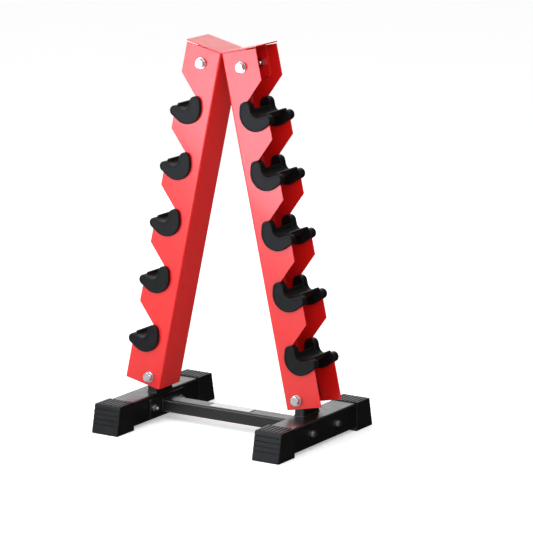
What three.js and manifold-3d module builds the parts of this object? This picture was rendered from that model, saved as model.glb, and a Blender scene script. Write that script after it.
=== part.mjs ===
// A-frame dumbbell rack: two leaning notched channels on two feet, with ten moulded cradles.
// Millimetres. +X runs along the crossbar to the right, -Y is the front, +Z is up.
// The origin is on the floor, under the middle of the rack.
import * as THREE from 'three';
import { mergeVertices } from 'three/addons/utils/BufferGeometryUtils.js';
import Module from 'manifold-3d';

const wasm = await Module();
wasm.setup();

// ---- Fits ----
const gap = 0.3;                // air between two pieces that touch
const holeClearance = 0.4;      // a hole's radius over its bolt's
const cutPast = 5;              // how far a cutter runs past what it cuts
const joinPast = 1;             // how far a shape runs into the one that it is joined to

// ---- Overall frame ----
const footSpacing = 475;        // between the middles of the two feet
const uprightLength = 894.8;    // along the channel
const uprightLift = 13.6;       // from the foot's top to the channel's lowest corner
const footLength = 406;         // steel tube only, inside its end caps

// ---- Channel of each upright ----
const channelWidth = 97.2;
const channelDepth = 102;
const sheet = 2.5;
const channelBend = 5;          // outer radius of the two folds

// ---- Notches in the channel's flanges ----
const firstNotchDrop = 78.5;    // from the channel's top to the first notch's corner
const notchPitches = [147, 150, 153, 159.5];
const notchRadius = 32;
const notchInset = 29;          // from the flange's edge to the middle of the notch's round
const notchRoofSlope = 42;      // degrees, of the notch's upper edge
const notchFloorSlope = 5;      // degrees, of the notch's lower edge

// ---- Moulded cradle in each notch ----
const cradleRadius = 18;        // the round that a handle lies in
const cradleShift = 5;          // cradle's middle, outwards of the notch's middle
const cradleDrop = 1.8;         // cradle's middle, below the notch's middle
const collarOverlap = 10;       // how far a collar covers the flange round the notch
const collarShift = 6;          // collar's middle, inwards of the notch's middle
const collarDrop = 11.8;        // collar's middle, below the notch's middle
const collarOutside = 9.4;      // collar's thickness outside its flange
const collarInside = 10.8;      // collar's thickness inside its flange
const lipRadius = 13;           // raised outer end of the collar
const lipReach = 25;            // lip's middle, outwards of the notch's middle
const lipDrop = 29.8;           // lip's middle, below the notch's middle
const hornRadius = 15;          // round upper end of the collar
const hornRise = 8.2;           // horn's middle, above the notch's middle
const troughRecess = 2;         // trough floor, below the collars
const troughWall = 8;
const troughEnd = 35;           // degrees below level, where the trough's outer side stops

// ---- Feet and their end caps ----
const footWidth = 72;
const footHeight = 64;
const footWall = 2.5;
const footCorner = 6;
const footClearance = 8;        // under the tube
const capWall = 2.5;
const capRoof = 1.6;
const capGrip = 56;             // how far a cap reaches over its tube
const capToeTop = 5.3;          // cap's end past the tube's end, at the top
const capToeFloor = 20.4;       // the same at the floor
const toeGrooves = 4;           // across the sloping toe
const toeGrooveDepth = 1.4;
const toeGrooveWidth = 2.4;
const roofRibs = 6;             // along the roof
const ribPitch = 11.5;
const ribWidth = 6;
const ribRise = 1.3;
const ribFromToe = 6;
const ribFromMouth = 3;

// ---- Posts that carry the uprights ----
const postWidth = 28;           // across the rack
const postDepth = 73;           // front to back
const postWall = 2.5;
const postInset = 18.1;         // post's middle, inwards of the foot's middle
const postCorner = 3.5;
const postOverBolt = 26;
const spacerRadius = 12;

// ---- Crossbar ----
const crossbarDepth = 46;
const crossbarHeight = 33;
const crossbarWall = 2;
const crossbarCorner = 5.5;
const crossbarDrop = 2;         // its middle, below the middle of the foot tubes
const endPlateLength = 156;
const endPlateHeight = 50;
const endPlateThickness = 5;
const endPlateCorner = 6;
const badgeLength = 118;
const badgeWidth = 31;
const badgeCorner = 3;
const badgeThickness = 1.2;

// ---- Top bracket ----
const topPlateThickness = 3;
const topPlateReach = 104;      // each leg, from the valley
const topPlateLift = 1.5;       // degrees that a leg rises off its channel
const earThickness = 4;
const earStart = 6;             // from the channel's web
const earEnd = 72;
const earDrop = 78;             // below the channel's top
const earCorner = 12;

// ---- Fasteners ----
const boltRadius = 7;
const headFlats = 22;
const headThickness = 8.8;
const nutThickness = 11;
const washerRadius = 14;
const washerThickness = 2.5;
const threadPastNut = 4;
const topBoltDrop = 40;         // from the channel's top
const lowBoltRise = 22.8;       // from the channel's bottom
const lowBoltInset = 34.4;      // from the channel's web
const footBoltRadius = 4;
const footBoltOffset = 59;      // in front of and behind the crossbar's middle
const footHeadFlats = 13;
const footHeadThickness = 7.5;
const footNutThickness = 8;
const footFlangeRadius = 9.5;   // the round flange under each head and nut
const footFlangeThickness = 2;

// ---- How finely the rounds are divided ----
const roundSteps = 5;           // per notch; three.js doubles it on an arc
const cornerSteps = 2;          // per folded or rounded corner
const collarSteps = 4;          // per arc of a cradle
const boltSides = 12;

// ---- Places worked out from the sizes above ----
const degree = Math.PI / 180;
const footMiddle = footSpacing / 2;
const footTop = footClearance + footHeight;
const footAxis = footClearance + footHeight / 2;
const postMiddle = footMiddle - postInset;
const boltArm = uprightLength - lowBoltRise;
const leanReach = Math.hypot(boltArm, lowBoltInset);
const lean = Math.asin((postMiddle - gap / 2) / leanReach) - Math.atan2(lowBoltInset, boltArm);
const webBottomX = uprightLength * Math.sin(lean) + gap / 2;
const webBottomZ = footTop + uprightLift;
const flangeInside = channelWidth / 2 - sheet;
const flangeOutside = channelWidth / 2;
const boltHole = boltRadius + holeClearance;
const footBoltHole = footBoltRadius + holeClearance;
const topBoltDepth = channelDepth / 2;
const topBoltHeight = uprightLength - topBoltDrop;
const lowBoltZ = webBottomZ + lowBoltInset * Math.sin(lean) + lowBoltRise * Math.cos(lean);
const postTop = lowBoltZ + postOverBolt;
const footInnerFace = footMiddle - footWidth / 2;
const endPlateInner = footInnerFace - gap - endPlateThickness;
const crossbarAxis = footAxis - crossbarDrop;
const crossbarTop = crossbarAxis + crossbarHeight / 2;
const collarFront = flangeOutside + collarOutside;
const collarBack = flangeInside - collarInside;

const red = new THREE.MeshStandardMaterial({ color: 0xc8141a, roughness: 0.32, metalness: 0.1 });
const black = new THREE.MeshStandardMaterial({ color: 0x17181a, roughness: 0.42, metalness: 0.2 });
const rubber = new THREE.MeshStandardMaterial({ color: 0x232426, roughness: 0.75, metalness: 0 });
const plastic = new THREE.MeshStandardMaterial({ color: 0x101113, roughness: 0.5, metalness: 0 });
const zinc = new THREE.MeshStandardMaterial({ color: 0xd4d6d8, roughness: 0.28, metalness: 1 });
const plate = new THREE.MeshStandardMaterial({ color: 0xeceded, roughness: 0.35, metalness: 0.4 });

const rack = new THREE.Group();

// ---- Helpers: solids from three.js geometry, and back ----
function solidFrom(geometry) {
  const bare = geometry.clone();
  bare.deleteAttribute('normal');
  bare.deleteAttribute('uv');
  const merged = mergeVertices(bare, 1e-4);
  const vertProperties = new Float32Array(merged.attributes.position.array);
  const triVerts = new Uint32Array(merged.index.array);
  return new wasm.Manifold(new wasm.Mesh({ numProp: 3, vertProperties, triVerts }));
}

function geometryFrom(solid) {
  const mesh = solid.getMesh();
  const geometry = new THREE.BufferGeometry();
  geometry.setAttribute('position', new THREE.BufferAttribute(mesh.vertProperties, 3));
  geometry.setIndex(new THREE.BufferAttribute(mesh.triVerts, 1));
  geometry.computeVertexNormals();
  return geometry;
}

// A flat outline in X and Y, drawn up along Z from low to high.
function risen(shape, low, high, curveSegments = cornerSteps) {
  const geometry = new THREE.ExtrudeGeometry(shape, {
    depth: high - low, bevelEnabled: false, curveSegments });
  return geometry.translate(0, 0, low);
}

// A flat outline in X and Z, drawn along Y from near to far.
function drawnAlongY(shape, near, far, curveSegments = cornerSteps) {
  return risen(shape, 0, far - near, curveSegments).rotateX(Math.PI / 2).translate(0, far, 0);
}

// A flat outline in Y and Z, drawn along X from left to right.
function drawnAlongX(shape, left, right, curveSegments = cornerSteps) {
  const geometry = risen(shape, left, right, curveSegments);
  return geometry.rotateX(Math.PI / 2).rotateZ(Math.PI / 2);
}

function rodAlongY(radius, near, far, x = 0, z = 0, sides = boltSides) {
  const geometry = new THREE.CylinderGeometry(radius, radius, far - near, sides);
  return geometry.translate(x, (near + far) / 2, z);
}

function rodAlongX(radius, left, right, y = 0, z = 0, sides = boltSides) {
  return rodAlongY(radius, left, right, 0, 0, sides).rotateZ(-Math.PI / 2).translate(0, y, z);
}

function hexAlongY(flats, near, far) {
  return rodAlongY(flats / Math.sqrt(3), near, far, 0, 0, 6);
}

function roundedBox(width, height, radius) {
  const shape = new THREE.Shape();
  const x = width / 2 - radius;
  const y = height / 2 - radius;
  shape.absarc(x, y, radius, 0, Math.PI / 2);
  shape.absarc(-x, y, radius, Math.PI / 2, Math.PI);
  shape.absarc(-x, -y, radius, Math.PI, Math.PI * 1.5);
  shape.absarc(x, -y, radius, Math.PI * 1.5, Math.PI * 2);
  return shape;
}

function polygon(points) {
  return new THREE.Shape(points.map(([x, y]) => new THREE.Vector2(x, y)));
}

function addPiece(parent, name, geometry, material, place = [0, 0, 0]) {
  const mesh = new THREE.Mesh(geometry, material);
  mesh.name = name;
  mesh.position.set(...place);
  parent.add(mesh);
}

// The lean of one upright: X outwards from its web, Z up along its length.
function leaningGroup(side) {
  const turned = new THREE.Group();
  turned.rotation.z = side > 0 ? 0 : Math.PI;
  const leaning = new THREE.Group();
  leaning.position.set(webBottomX, 0, webBottomZ);
  leaning.rotation.y = -lean;
  turned.add(leaning);
  rack.add(turned);
  return leaning;
}

// ---- Notches and cradles, in the leaning frame of an upright ----
function notchMiddle(cornerHeight) {
  const roof = notchRoofSlope * degree;
  const x = channelDepth - notchInset;
  const run = (notchInset + notchRadius * Math.sin(roof)) / Math.cos(roof);
  const z = cornerHeight - run * Math.sin(roof) - notchRadius * Math.cos(roof);
  return { x, z };
}

// The open notch: a round with a straight roof and floor that run out past the flange.
function notchShape(middle, radius) {
  const roof = notchRoofSlope * degree;
  const floor = notchFloorSlope * degree;
  const reach = channelDepth + cutPast;
  const start = Math.PI / 2 + roof;
  const end = Math.PI * 1.5 + floor;
  const shape = new THREE.Shape();
  const roofX = middle.x + radius * Math.cos(start);
  const roofZ = middle.z + radius * Math.sin(start);
  const floorX = middle.x + radius * Math.cos(end);
  const floorZ = middle.z + radius * Math.sin(end);
  shape.moveTo(reach, roofZ + (reach - roofX) * Math.tan(roof));
  shape.lineTo(roofX, roofZ);
  shape.absarc(middle.x, middle.z, radius, start, end);
  shape.lineTo(reach, floorZ + (reach - floorX) * Math.tan(floor));
  return shape;
}

function notchCorners() {
  let height = uprightLength - firstNotchDrop;
  const heights = [height];
  for (const pitch of notchPitches) {
    height -= pitch;
    heights.push(height);
  }
  return heights;
}

function channelShape() {
  const half = channelWidth / 2;
  const inner = channelBend - sheet;
  const shape = new THREE.Shape();
  shape.moveTo(channelDepth, -half);
  shape.lineTo(channelDepth, -half + sheet);
  shape.absarc(channelBend, -half + channelBend, inner, Math.PI * 1.5, Math.PI, true);
  shape.absarc(channelBend, half - channelBend, inner, Math.PI, Math.PI / 2, true);
  shape.lineTo(channelDepth, half - sheet);
  shape.lineTo(channelDepth, half);
  shape.absarc(channelBend, half - channelBend, channelBend, Math.PI / 2, Math.PI);
  shape.absarc(channelBend, -half + channelBend, channelBend, Math.PI, Math.PI * 1.5);
  return shape;
}

function upright() {
  const past = flangeOutside + cutPast;
  let body = solidFrom(risen(channelShape(), 0, uprightLength));
  for (const corner of notchCorners()) {
    const notch = notchShape(notchMiddle(corner), notchRadius);
    body = body.subtract(solidFrom(drawnAlongY(notch, -past, past, roundSteps)));
  }
  const topHole = rodAlongY(boltHole, -past, past, topBoltDepth, topBoltHeight);
  const lowHole = rodAlongY(boltHole, -past, past, lowBoltInset, lowBoltRise);
  return geometryFrom(body.subtract(solidFrom(topHole)).subtract(solidFrom(lowHole)));
}

// The outline round a large and a small circle, with straight sides between them.
function pebbleShape(big, bigRadius, small, smallRadius) {
  const across = small.x - big.x;
  const up = small.z - big.z;
  const along = Math.atan2(up, across);
  const spread = Math.acos((bigRadius - smallRadius) / Math.hypot(across, up));
  const shape = new THREE.Shape();
  shape.absarc(big.x, big.z, bigRadius, along + spread, along - spread + Math.PI * 2);
  shape.absarc(small.x, small.z, smallRadius, along - spread, along + spread);
  return shape;
}

// The space that a collar leaves open for a handle: the cradle's round and the way in over the lip.
function wayInShape(cradle, lip, height) {
  const across = lip.x - cradle.x;
  const up = lip.z - cradle.z;
  const spread = Math.asin((cradleRadius + lipRadius) / Math.hypot(across, up));
  const slope = Math.atan2(up, across) + spread;
  const far = lip.x + lipRadius + cutPast;
  const shape = new THREE.Shape();
  shape.moveTo(cradle.x - cradleRadius, height);
  shape.lineTo(cradle.x - cradleRadius, cradle.z);
  shape.absarc(cradle.x, cradle.z, cradleRadius, Math.PI, Math.PI * 1.5 + slope);
  shape.absarc(lip.x, lip.z, lipRadius, Math.PI / 2 + slope, 0, true);
  shape.lineTo(far, lip.z);
  shape.lineTo(far, height);
  return shape;
}

function troughShape(cradle) {
  const inner = cradleRadius + troughRecess;
  const outer = inner + troughWall;
  const end = Math.PI * 2 - troughEnd * degree;
  const shape = new THREE.Shape();
  shape.absarc(cradle.x, cradle.z, outer, Math.PI, end);
  shape.absarc(cradle.x, cradle.z, inner, end, Math.PI, true);
  return shape;
}

// One moulded cradle: two collars that clip over the flanges, joined by a trough.
// Each collar is a pebble outline round the notch, open at the top, with a round horn inwards.
function saddle(corner) {
  const middle = notchMiddle(corner);
  const collar = { x: middle.x - collarShift, z: middle.z - collarDrop };
  const collarRadius = notchRadius + collarOverlap;
  const lip = { x: middle.x + lipReach, z: middle.z - lipDrop };
  const cradle = { x: middle.x + cradleShift, z: middle.z - cradleDrop };
  const horn = { x: cradle.x - cradleRadius - hornRadius, z: middle.z + hornRise };
  const ceiling = collar.z + collarRadius + cutPast;
  const past = collarFront + cutPast;
  const collarOutline = pebbleShape(collar, collarRadius, lip, lipRadius);
  const overHorn = polygon([
    [collar.x - collarRadius - cutPast, horn.z], [cradle.x - cradleRadius, horn.z],
    [cradle.x - cradleRadius, ceiling], [collar.x - collarRadius - cutPast, ceiling]]);
  const opening = solidFrom(
    drawnAlongY(wayInShape(cradle, lip, ceiling), -past, past, collarSteps))
    .add(solidFrom(drawnAlongY(overHorn, -past, past)));
  const troughHalf = collarBack + joinPast;
  let body = solidFrom(drawnAlongY(troughShape(cradle), -troughHalf, troughHalf, collarSteps));
  for (const side of [-1, 1]) {
    const near = side > 0 ? collarBack : -collarFront;
    const far = side > 0 ? collarFront : -collarBack;
    const disc = solidFrom(drawnAlongY(collarOutline, near, far, collarSteps)).subtract(opening);
    body = body.add(disc);
    body = body.add(solidFrom(rodAlongY(hornRadius, near, far, horn.x, horn.z)));
  }
  return geometryFrom(body.subtract(flangeSlots(middle, collar, collarRadius)));
}

// The two slots that the flanges fill: each flange outside its notch, with the gap all round.
function flangeSlots(middle, collar, collarRadius) {
  const low = collar.z - collarRadius - cutPast;
  const high = collar.z + collarRadius + cutPast;
  const flange = polygon([
    [collar.x - collarRadius - cutPast, low], [channelDepth + gap, low],
    [channelDepth + gap, high], [collar.x - collarRadius - cutPast, high]]);
  const past = flangeOutside + cutPast;
  const notch = solidFrom(
    drawnAlongY(notchShape(middle, notchRadius - gap), -past, past, roundSteps));
  const front = solidFrom(drawnAlongY(flange, -flangeOutside - gap, -flangeInside + gap));
  const back = solidFrom(drawnAlongY(flange, flangeInside - gap, flangeOutside + gap));
  return front.add(back).subtract(notch);
}

// ---- Top bracket: a plate folded to a shallow V, with four ears inside the channels ----
function topPlateShape() {
  const slope = lean + topPlateLift * degree;
  const valley = webBottomZ + uprightLength * Math.cos(lean) + gap / Math.cos(slope);
  const reachX = topPlateReach * Math.cos(slope);
  const reachZ = topPlateReach * Math.sin(slope);
  const liftX = topPlateThickness * Math.sin(slope);
  const liftZ = topPlateThickness * Math.cos(slope);
  return polygon([
    [0, valley], [reachX, valley + reachZ], [reachX - liftX, valley + reachZ + liftZ],
    [0, valley + topPlateThickness / Math.cos(slope)],
    [liftX - reachX, valley + reachZ + liftZ], [-reachX, valley + reachZ]]);
}

function earShape() {
  const rise = Math.tan(topPlateLift * degree);
  const intoPlate = gap + topPlateThickness / 2;
  const low = uprightLength - earDrop;
  const shape = new THREE.Shape();
  shape.moveTo(earStart, uprightLength + intoPlate + earStart * rise);
  shape.lineTo(earStart, low);
  shape.absarc(earEnd - earCorner, low + earCorner, earCorner, Math.PI * 1.5, Math.PI * 2);
  shape.lineTo(earEnd, uprightLength + intoPlate + earEnd * rise);
  return shape;
}

function topBracket() {
  const half = channelWidth / 2;
  let body = solidFrom(drawnAlongY(topPlateShape(), -half, half));
  for (const side of [-1, 1]) {
    const place = new THREE.Matrix4().makeRotationZ(side > 0 ? 0 : Math.PI);
    place.multiply(new THREE.Matrix4().makeTranslation(webBottomX, 0, webBottomZ));
    place.multiply(new THREE.Matrix4().makeRotationY(-lean));
    for (const near of [-flangeInside + gap, flangeInside - gap - earThickness]) {
      const far = near + earThickness;
      const hole = rodAlongY(boltHole, near - cutPast, far + cutPast, topBoltDepth, topBoltHeight);
      const ear = drawnAlongY(earShape(), near, far).applyMatrix4(place);
      body = body.add(solidFrom(ear)).subtract(solidFrom(hole.applyMatrix4(place)));
    }
  }
  return geometryFrom(body);
}

// ---- Base ----
function hollowAlongY(width, height, radius, wall, near, far) {
  const outline = roundedBox(width, height, radius);
  outline.holes.push(roundedBox(width - wall * 2, height - wall * 2, radius - wall));
  return drawnAlongY(outline, near, far);
}

function footTube() {
  const tube = hollowAlongY(footWidth, footHeight, footCorner, footWall, -footLength / 2, footLength / 2);
  let body = solidFrom(tube.translate(0, 0, footAxis));
  const past = footWidth / 2 + cutPast;
  for (const y of [-footBoltOffset, footBoltOffset]) {
    const hole = rodAlongX(footBoltHole, -past, past, y, footAxis);
    body = body.subtract(solidFrom(hole));
  }
  return geometryFrom(body);
}

// The cap's side outline: X is the way out of the tube, Y is up, with grooves down the toe.
// The toe's lowest band is twice as tall as the others.
function capShape() {
  const inner = footLength / 2 - capGrip;
  const roof = footTop + gap + capRoof;
  const toeTop = footLength / 2 + capToeTop;
  const toeFloor = footLength / 2 + capToeFloor;
  const half = toeGrooveWidth / 2;
  const points = [[inner, 0], [toeFloor, 0]];
  const toe = new THREE.Vector2(toeTop - toeFloor, roof);
  const toeUnit = toe.clone().normalize();
  const inward = new THREE.Vector2(-toeUnit.y, toeUnit.x);
  for (let i = 1; i <= toeGrooves; i += 1) {
    const along = toe.length() * (i + 1) / (toeGrooves + 2);
    const middle = toeUnit.clone().multiplyScalar(along).add(new THREE.Vector2(toeFloor, 0));
    for (const [step, depth] of [[-half, 0], [0, toeGrooveDepth], [half, 0]]) {
      const point = middle.clone().addScaledVector(toeUnit, step).addScaledVector(inward, depth);
      points.push([point.x, point.y]);
    }
  }
  points.push([toeTop, roof], [inner, roof]);
  return polygon(points);
}

// One long rib on the cap's roof, at a given place across it.
function roofRib(x) {
  const near = footLength / 2 - capGrip + ribFromMouth;
  const far = footLength / 2 + capToeTop - ribFromToe;
  const rib = new THREE.BoxGeometry(ribWidth, far - near, ribRise + joinPast);
  const middle = footTop + gap + capRoof + (ribRise - joinPast) / 2;
  return rib.translate(x, (near + far) / 2, middle);
}

function endCap() {
  const half = footWidth / 2 + gap + capWall;
  const inner = footLength / 2 - capGrip;
  const room = roundedBox(footWidth + gap * 2, footHeight + gap * 2, footCorner + gap);
  const pocket = drawnAlongY(room, inner - cutPast, footLength / 2 + gap).translate(0, 0, footAxis);
  let body = solidFrom(drawnAlongX(capShape(), -half, half)).subtract(solidFrom(pocket));
  for (let i = 0; i < roofRibs; i += 1) {
    body = body.add(solidFrom(roofRib((i - (roofRibs - 1) / 2) * ribPitch)));
  }
  return geometryFrom(body);
}

function post() {
  const outline = roundedBox(postWidth, postDepth, postCorner);
  const inner = postCorner - postWall;
  outline.holes.push(roundedBox(postWidth - postWall * 2, postDepth - postWall * 2, inner));
  const tube = solidFrom(risen(outline, footTop + gap, postTop));
  const past = postDepth / 2 + cutPast;
  return geometryFrom(tube.subtract(solidFrom(rodAlongY(boltHole, -past, past, 0, lowBoltZ))));
}

function crossbar() {
  const outline = roundedBox(crossbarDepth, crossbarHeight, crossbarCorner);
  const inner = crossbarCorner - crossbarWall;
  outline.holes.push(
    roundedBox(crossbarDepth - crossbarWall * 2, crossbarHeight - crossbarWall * 2, inner));
  const half = endPlateInner - gap;
  return drawnAlongX(outline, -half, half).translate(0, 0, crossbarAxis);
}

function endPlate() {
  const half = endPlateThickness / 2;
  let body = solidFrom(
    drawnAlongX(roundedBox(endPlateLength, endPlateHeight, endPlateCorner), -half, half));
  for (const y of [-footBoltOffset, footBoltOffset]) {
    const hole = rodAlongX(footBoltHole, -half - cutPast, half + cutPast, y);
    body = body.subtract(solidFrom(hole));
  }
  return geometryFrom(body);
}

function badge() {
  const outline = roundedBox(badgeLength, badgeWidth, badgeCorner);
  return risen(outline, crossbarTop + gap, crossbarTop + gap + badgeThickness);
}

// ---- Fasteners. Each points along Y, with its head or its seat at y = 0 and its tip towards +Y ----
function hexBolt(length) {
  const head = solidFrom(hexAlongY(headFlats, -headThickness, 0));
  return geometryFrom(head.add(solidFrom(rodAlongY(boltRadius, -joinPast, length))));
}

function ring(radius, hole, length, sides = boltSides) {
  const body = solidFrom(rodAlongY(radius, 0, length, 0, 0, sides));
  return geometryFrom(body.subtract(solidFrom(rodAlongY(hole, -cutPast, length + cutPast))));
}

function hexNut() {
  return ring(headFlats / Math.sqrt(3), boltHole, nutThickness, 6);
}

// A hex bolt or nut for the feet, with a round flange where it bears.
function flangeBolt(length) {
  const head = solidFrom(hexAlongY(footHeadFlats, -footHeadThickness, 0));
  const flange = solidFrom(rodAlongY(footFlangeRadius, -footFlangeThickness, 0));
  const shank = solidFrom(rodAlongY(footBoltRadius, -joinPast, length));
  return geometryFrom(head.add(flange).add(shank));
}

function flangeNut() {
  const hex = solidFrom(hexAlongY(footHeadFlats, 0, footNutThickness));
  const flange = solidFrom(rodAlongY(footFlangeRadius, 0, footFlangeThickness));
  const hole = solidFrom(rodAlongY(footBoltHole, -cutPast, footNutThickness + cutPast));
  return geometryFrom(hex.add(flange).subtract(hole));
}

const headSeat = flangeOutside + gap * 2 + washerThickness;
const nutSeat = flangeInside - gap * 2 - earThickness;
const topBoltLength = headSeat - nutSeat + nutThickness + threadPastNut;
const lowBoltLength = headSeat * 2 + nutThickness + threadPastNut;

// Sets a fastener so that its tip points along +Y for direction 1, and along -Y for direction -1.
function addAlongY(parent, name, geometry, material, x, y, z, direction) {
  const turned = new THREE.Group();
  turned.position.set(x, y, z);
  turned.rotation.z = direction > 0 ? 0 : Math.PI;
  parent.add(turned);
  addPiece(turned, name, geometry, material);
}

function addTopFasteners(leaning, sideName, side) {
  for (const [endName, end] of [['front', -1], ['back', 1]]) {
    const label = `${sideName}_top_${endName}`;
    const y = end * side;
    addAlongY(leaning, `${label}_bolt`, hexBolt(topBoltLength), zinc,
      topBoltDepth, y * headSeat, topBoltHeight, -y);
    addAlongY(leaning, `${label}_washer`, ring(washerRadius, boltHole, washerThickness), zinc,
      topBoltDepth, y * (headSeat - gap), topBoltHeight, -y);
    addAlongY(leaning, `${label}_nut`, hexNut(), zinc,
      topBoltDepth, y * nutSeat, topBoltHeight, -y);
  }
}

function addLowFasteners(sideName, side) {
  const x = side * postMiddle;
  addAlongY(rack, `${sideName}_post_bolt`, hexBolt(lowBoltLength), zinc, x, -headSeat, lowBoltZ, 1);
  addAlongY(rack, `${sideName}_post_nut`, hexNut(), zinc,
    x, headSeat, lowBoltZ, 1);
  for (const [endName, end] of [['front', -1], ['back', 1]]) {
    addAlongY(rack, `${sideName}_post_${endName}_washer`,
      ring(washerRadius, boltHole, washerThickness), zinc, x, end * (headSeat - gap), lowBoltZ, -end);
    addAlongY(rack, `${sideName}_post_${endName}_spacer`,
      ring(spacerRadius, boltHole, flangeInside - postDepth / 2 - gap * 2), black,
      x, end * (flangeInside - gap), lowBoltZ, -end);
  }
}

function addFootFasteners(sideName, side) {
  const length = footWidth + endPlateThickness + footNutThickness + threadPastNut + gap * 4;
  const outer = side * (footMiddle + footWidth / 2 + gap);
  const seat = side * (endPlateInner - gap);
  for (const [endName, end] of [['front', -1], ['back', 1]]) {
    const y = end * footBoltOffset;
    const bolt = flangeBolt(length).rotateZ(side * Math.PI / 2);
    const nut = flangeNut().rotateZ(side * Math.PI / 2);
    addPiece(rack, `${sideName}_foot_${endName}_bolt`, bolt, zinc, [outer, y, footAxis]);
    addPiece(rack, `${sideName}_foot_${endName}_nut`, nut, zinc, [seat, y, footAxis]);
  }
}

// ---- Assembly ----
for (const [sideName, side] of [['left', -1], ['right', 1]]) {
  const leaning = leaningGroup(side);
  addPiece(leaning, `${sideName}_upright`, upright(), red);
  notchCorners().forEach((corner, i) => {
    addPiece(leaning, `${sideName}_saddle_${i + 1}`, saddle(corner), plastic);
  });
  addTopFasteners(leaning, sideName, side);
  addLowFasteners(sideName, side);
  addPiece(rack, `${sideName}_foot_tube`, footTube(), black, [side * footMiddle, 0, 0]);
  addPiece(rack, `${sideName}_post`, post(), black, [side * postMiddle, 0, 0]);
  for (const [endName, turn] of [['front', Math.PI], ['back', 0]]) {
    const cap = endCap().rotateZ(turn);
    addPiece(rack, `${sideName}_${endName}_end_cap`, cap, rubber, [side * footMiddle, 0, 0]);
  }
  const plateMiddle = side * (endPlateInner + endPlateThickness / 2);
  addPiece(rack, `${sideName}_end_plate`, endPlate(), black, [plateMiddle, 0, footAxis]);
  addFootFasteners(sideName, side);
}
addPiece(rack, 'top_bracket', topBracket(), red);
addPiece(rack, 'crossbar', crossbar(), black);
addPiece(rack, 'badge_plate', badge(), plate);

export default rack;
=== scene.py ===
"""An A-frame dumbbell rack, made as smooth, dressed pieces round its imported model.

Lengths are in metres. +X runs along the crossbar to the right, -Y is the front and +Z is up.
An upright has a leaning frame of its own: X runs outwards from its web and Z along its length.
"""

from __future__ import annotations

import logging
import math
from abc import ABC, abstractmethod
from collections.abc import Iterable, Sequence
from dataclasses import dataclass, field
from enum import Enum

import bmesh
import bpy
from mathutils import Matrix, Quaternion, Vector
from mathutils.geometry import tessellate_polygon


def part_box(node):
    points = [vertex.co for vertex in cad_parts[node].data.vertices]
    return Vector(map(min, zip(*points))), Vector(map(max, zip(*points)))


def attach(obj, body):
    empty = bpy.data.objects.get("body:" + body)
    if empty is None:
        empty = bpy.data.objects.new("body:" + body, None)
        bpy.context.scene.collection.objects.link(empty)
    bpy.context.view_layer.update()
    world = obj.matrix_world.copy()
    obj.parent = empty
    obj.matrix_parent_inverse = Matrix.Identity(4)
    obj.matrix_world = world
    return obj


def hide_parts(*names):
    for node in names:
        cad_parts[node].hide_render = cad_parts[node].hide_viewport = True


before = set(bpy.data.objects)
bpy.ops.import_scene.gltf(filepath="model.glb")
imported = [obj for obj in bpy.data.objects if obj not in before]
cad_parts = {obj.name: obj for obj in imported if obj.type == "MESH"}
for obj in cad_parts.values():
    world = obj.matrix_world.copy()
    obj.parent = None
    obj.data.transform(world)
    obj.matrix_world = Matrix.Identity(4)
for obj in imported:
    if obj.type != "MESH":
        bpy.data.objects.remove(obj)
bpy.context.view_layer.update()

LOG = logging.getLogger("dumbbell_rack")
MM = 0.001
GAP = 0.3 * MM
CHANNEL_DEPTH = 102 * MM
EAR_THICKNESS = 4 * MM
FOOT_HOLE = 4.4 * MM
FOOT_HOLE_OFFSET = 59 * MM
SAWN_RIM = 0.5 * MM
BODY = "root"
FULL_TURN = 360
STRAIGHT = math.radians(89.5)
CREASE = math.radians(34)
WELD_CREASE = math.radians(60)
SAME_CORNER = 1e-7

Point = tuple[float, float]
Rim = Sequence[Point]

# Turns a flat outline and its thickness, which are made in X, Y and Z, into the rack's axes.
LYING = Matrix.Identity(4)
ALONG_Y = Matrix.Rotation(math.radians(90), 4, "X")
ALONG_X = Matrix(((0, 0, 1, 0), (1, 0, 0, 0), (0, 1, 0, 0), (0, 0, 0, 1)))


class Side(Enum):
    """The two halves of the rack."""

    LEFT = "left"
    RIGHT = "right"

    @property
    def sign(self) -> int:
        """-1 on the left and +1 on the right."""
        return -1 if self is Side.LEFT else 1

    @property
    def turn(self) -> Matrix:
        """The turn about the upright axis that takes a right-hand piece to this side."""
        return Matrix.Rotation(math.pi if self is Side.LEFT else 0.0, 4, "Z")


class End(Enum):
    """The front and the back of the rack."""

    FRONT = "front"
    BACK = "back"

    @property
    def sign(self) -> int:
        """-1 at the front and +1 at the back."""
        return -1 if self is End.FRONT else 1


class Join(Enum):
    """How a tool piece changes the piece that it is used on."""

    ADD = "UNION"
    CUT = "DIFFERENCE"


# ---- Outlines: closed loops, with the material on the left of their travel ----


def arc(centre: Point, radius: float, start: float, end: float, steps: int) -> list[Point]:
    """Points along part of a circle.

    Args:
        centre: The circle's middle.
        radius: Its radius.
        start: Where the arc starts, in degrees.
        end: Where it ends; a smaller angle than start runs clockwise.
        steps: How many straight stretches stand for it.

    Returns:
        The points, both ends among them.
    """
    points = []
    for i in range(steps + 1):
        angle = math.radians(start + (end - start) * i / steps)
        points.append((centre[0] + radius * math.cos(angle), centre[1] + radius * math.sin(angle)))
    return points


def hole(centre: Point, radius: float, steps: int = 40) -> list[Point]:
    """A round hole's loop, which runs clockwise.

    Args:
        centre: The hole's middle.
        radius: Its radius.
        steps: How many straight stretches stand for it.

    Returns:
        The loop's points.
    """
    return arc(centre, radius, 0, -FULL_TURN, steps)[:-1]


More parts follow.
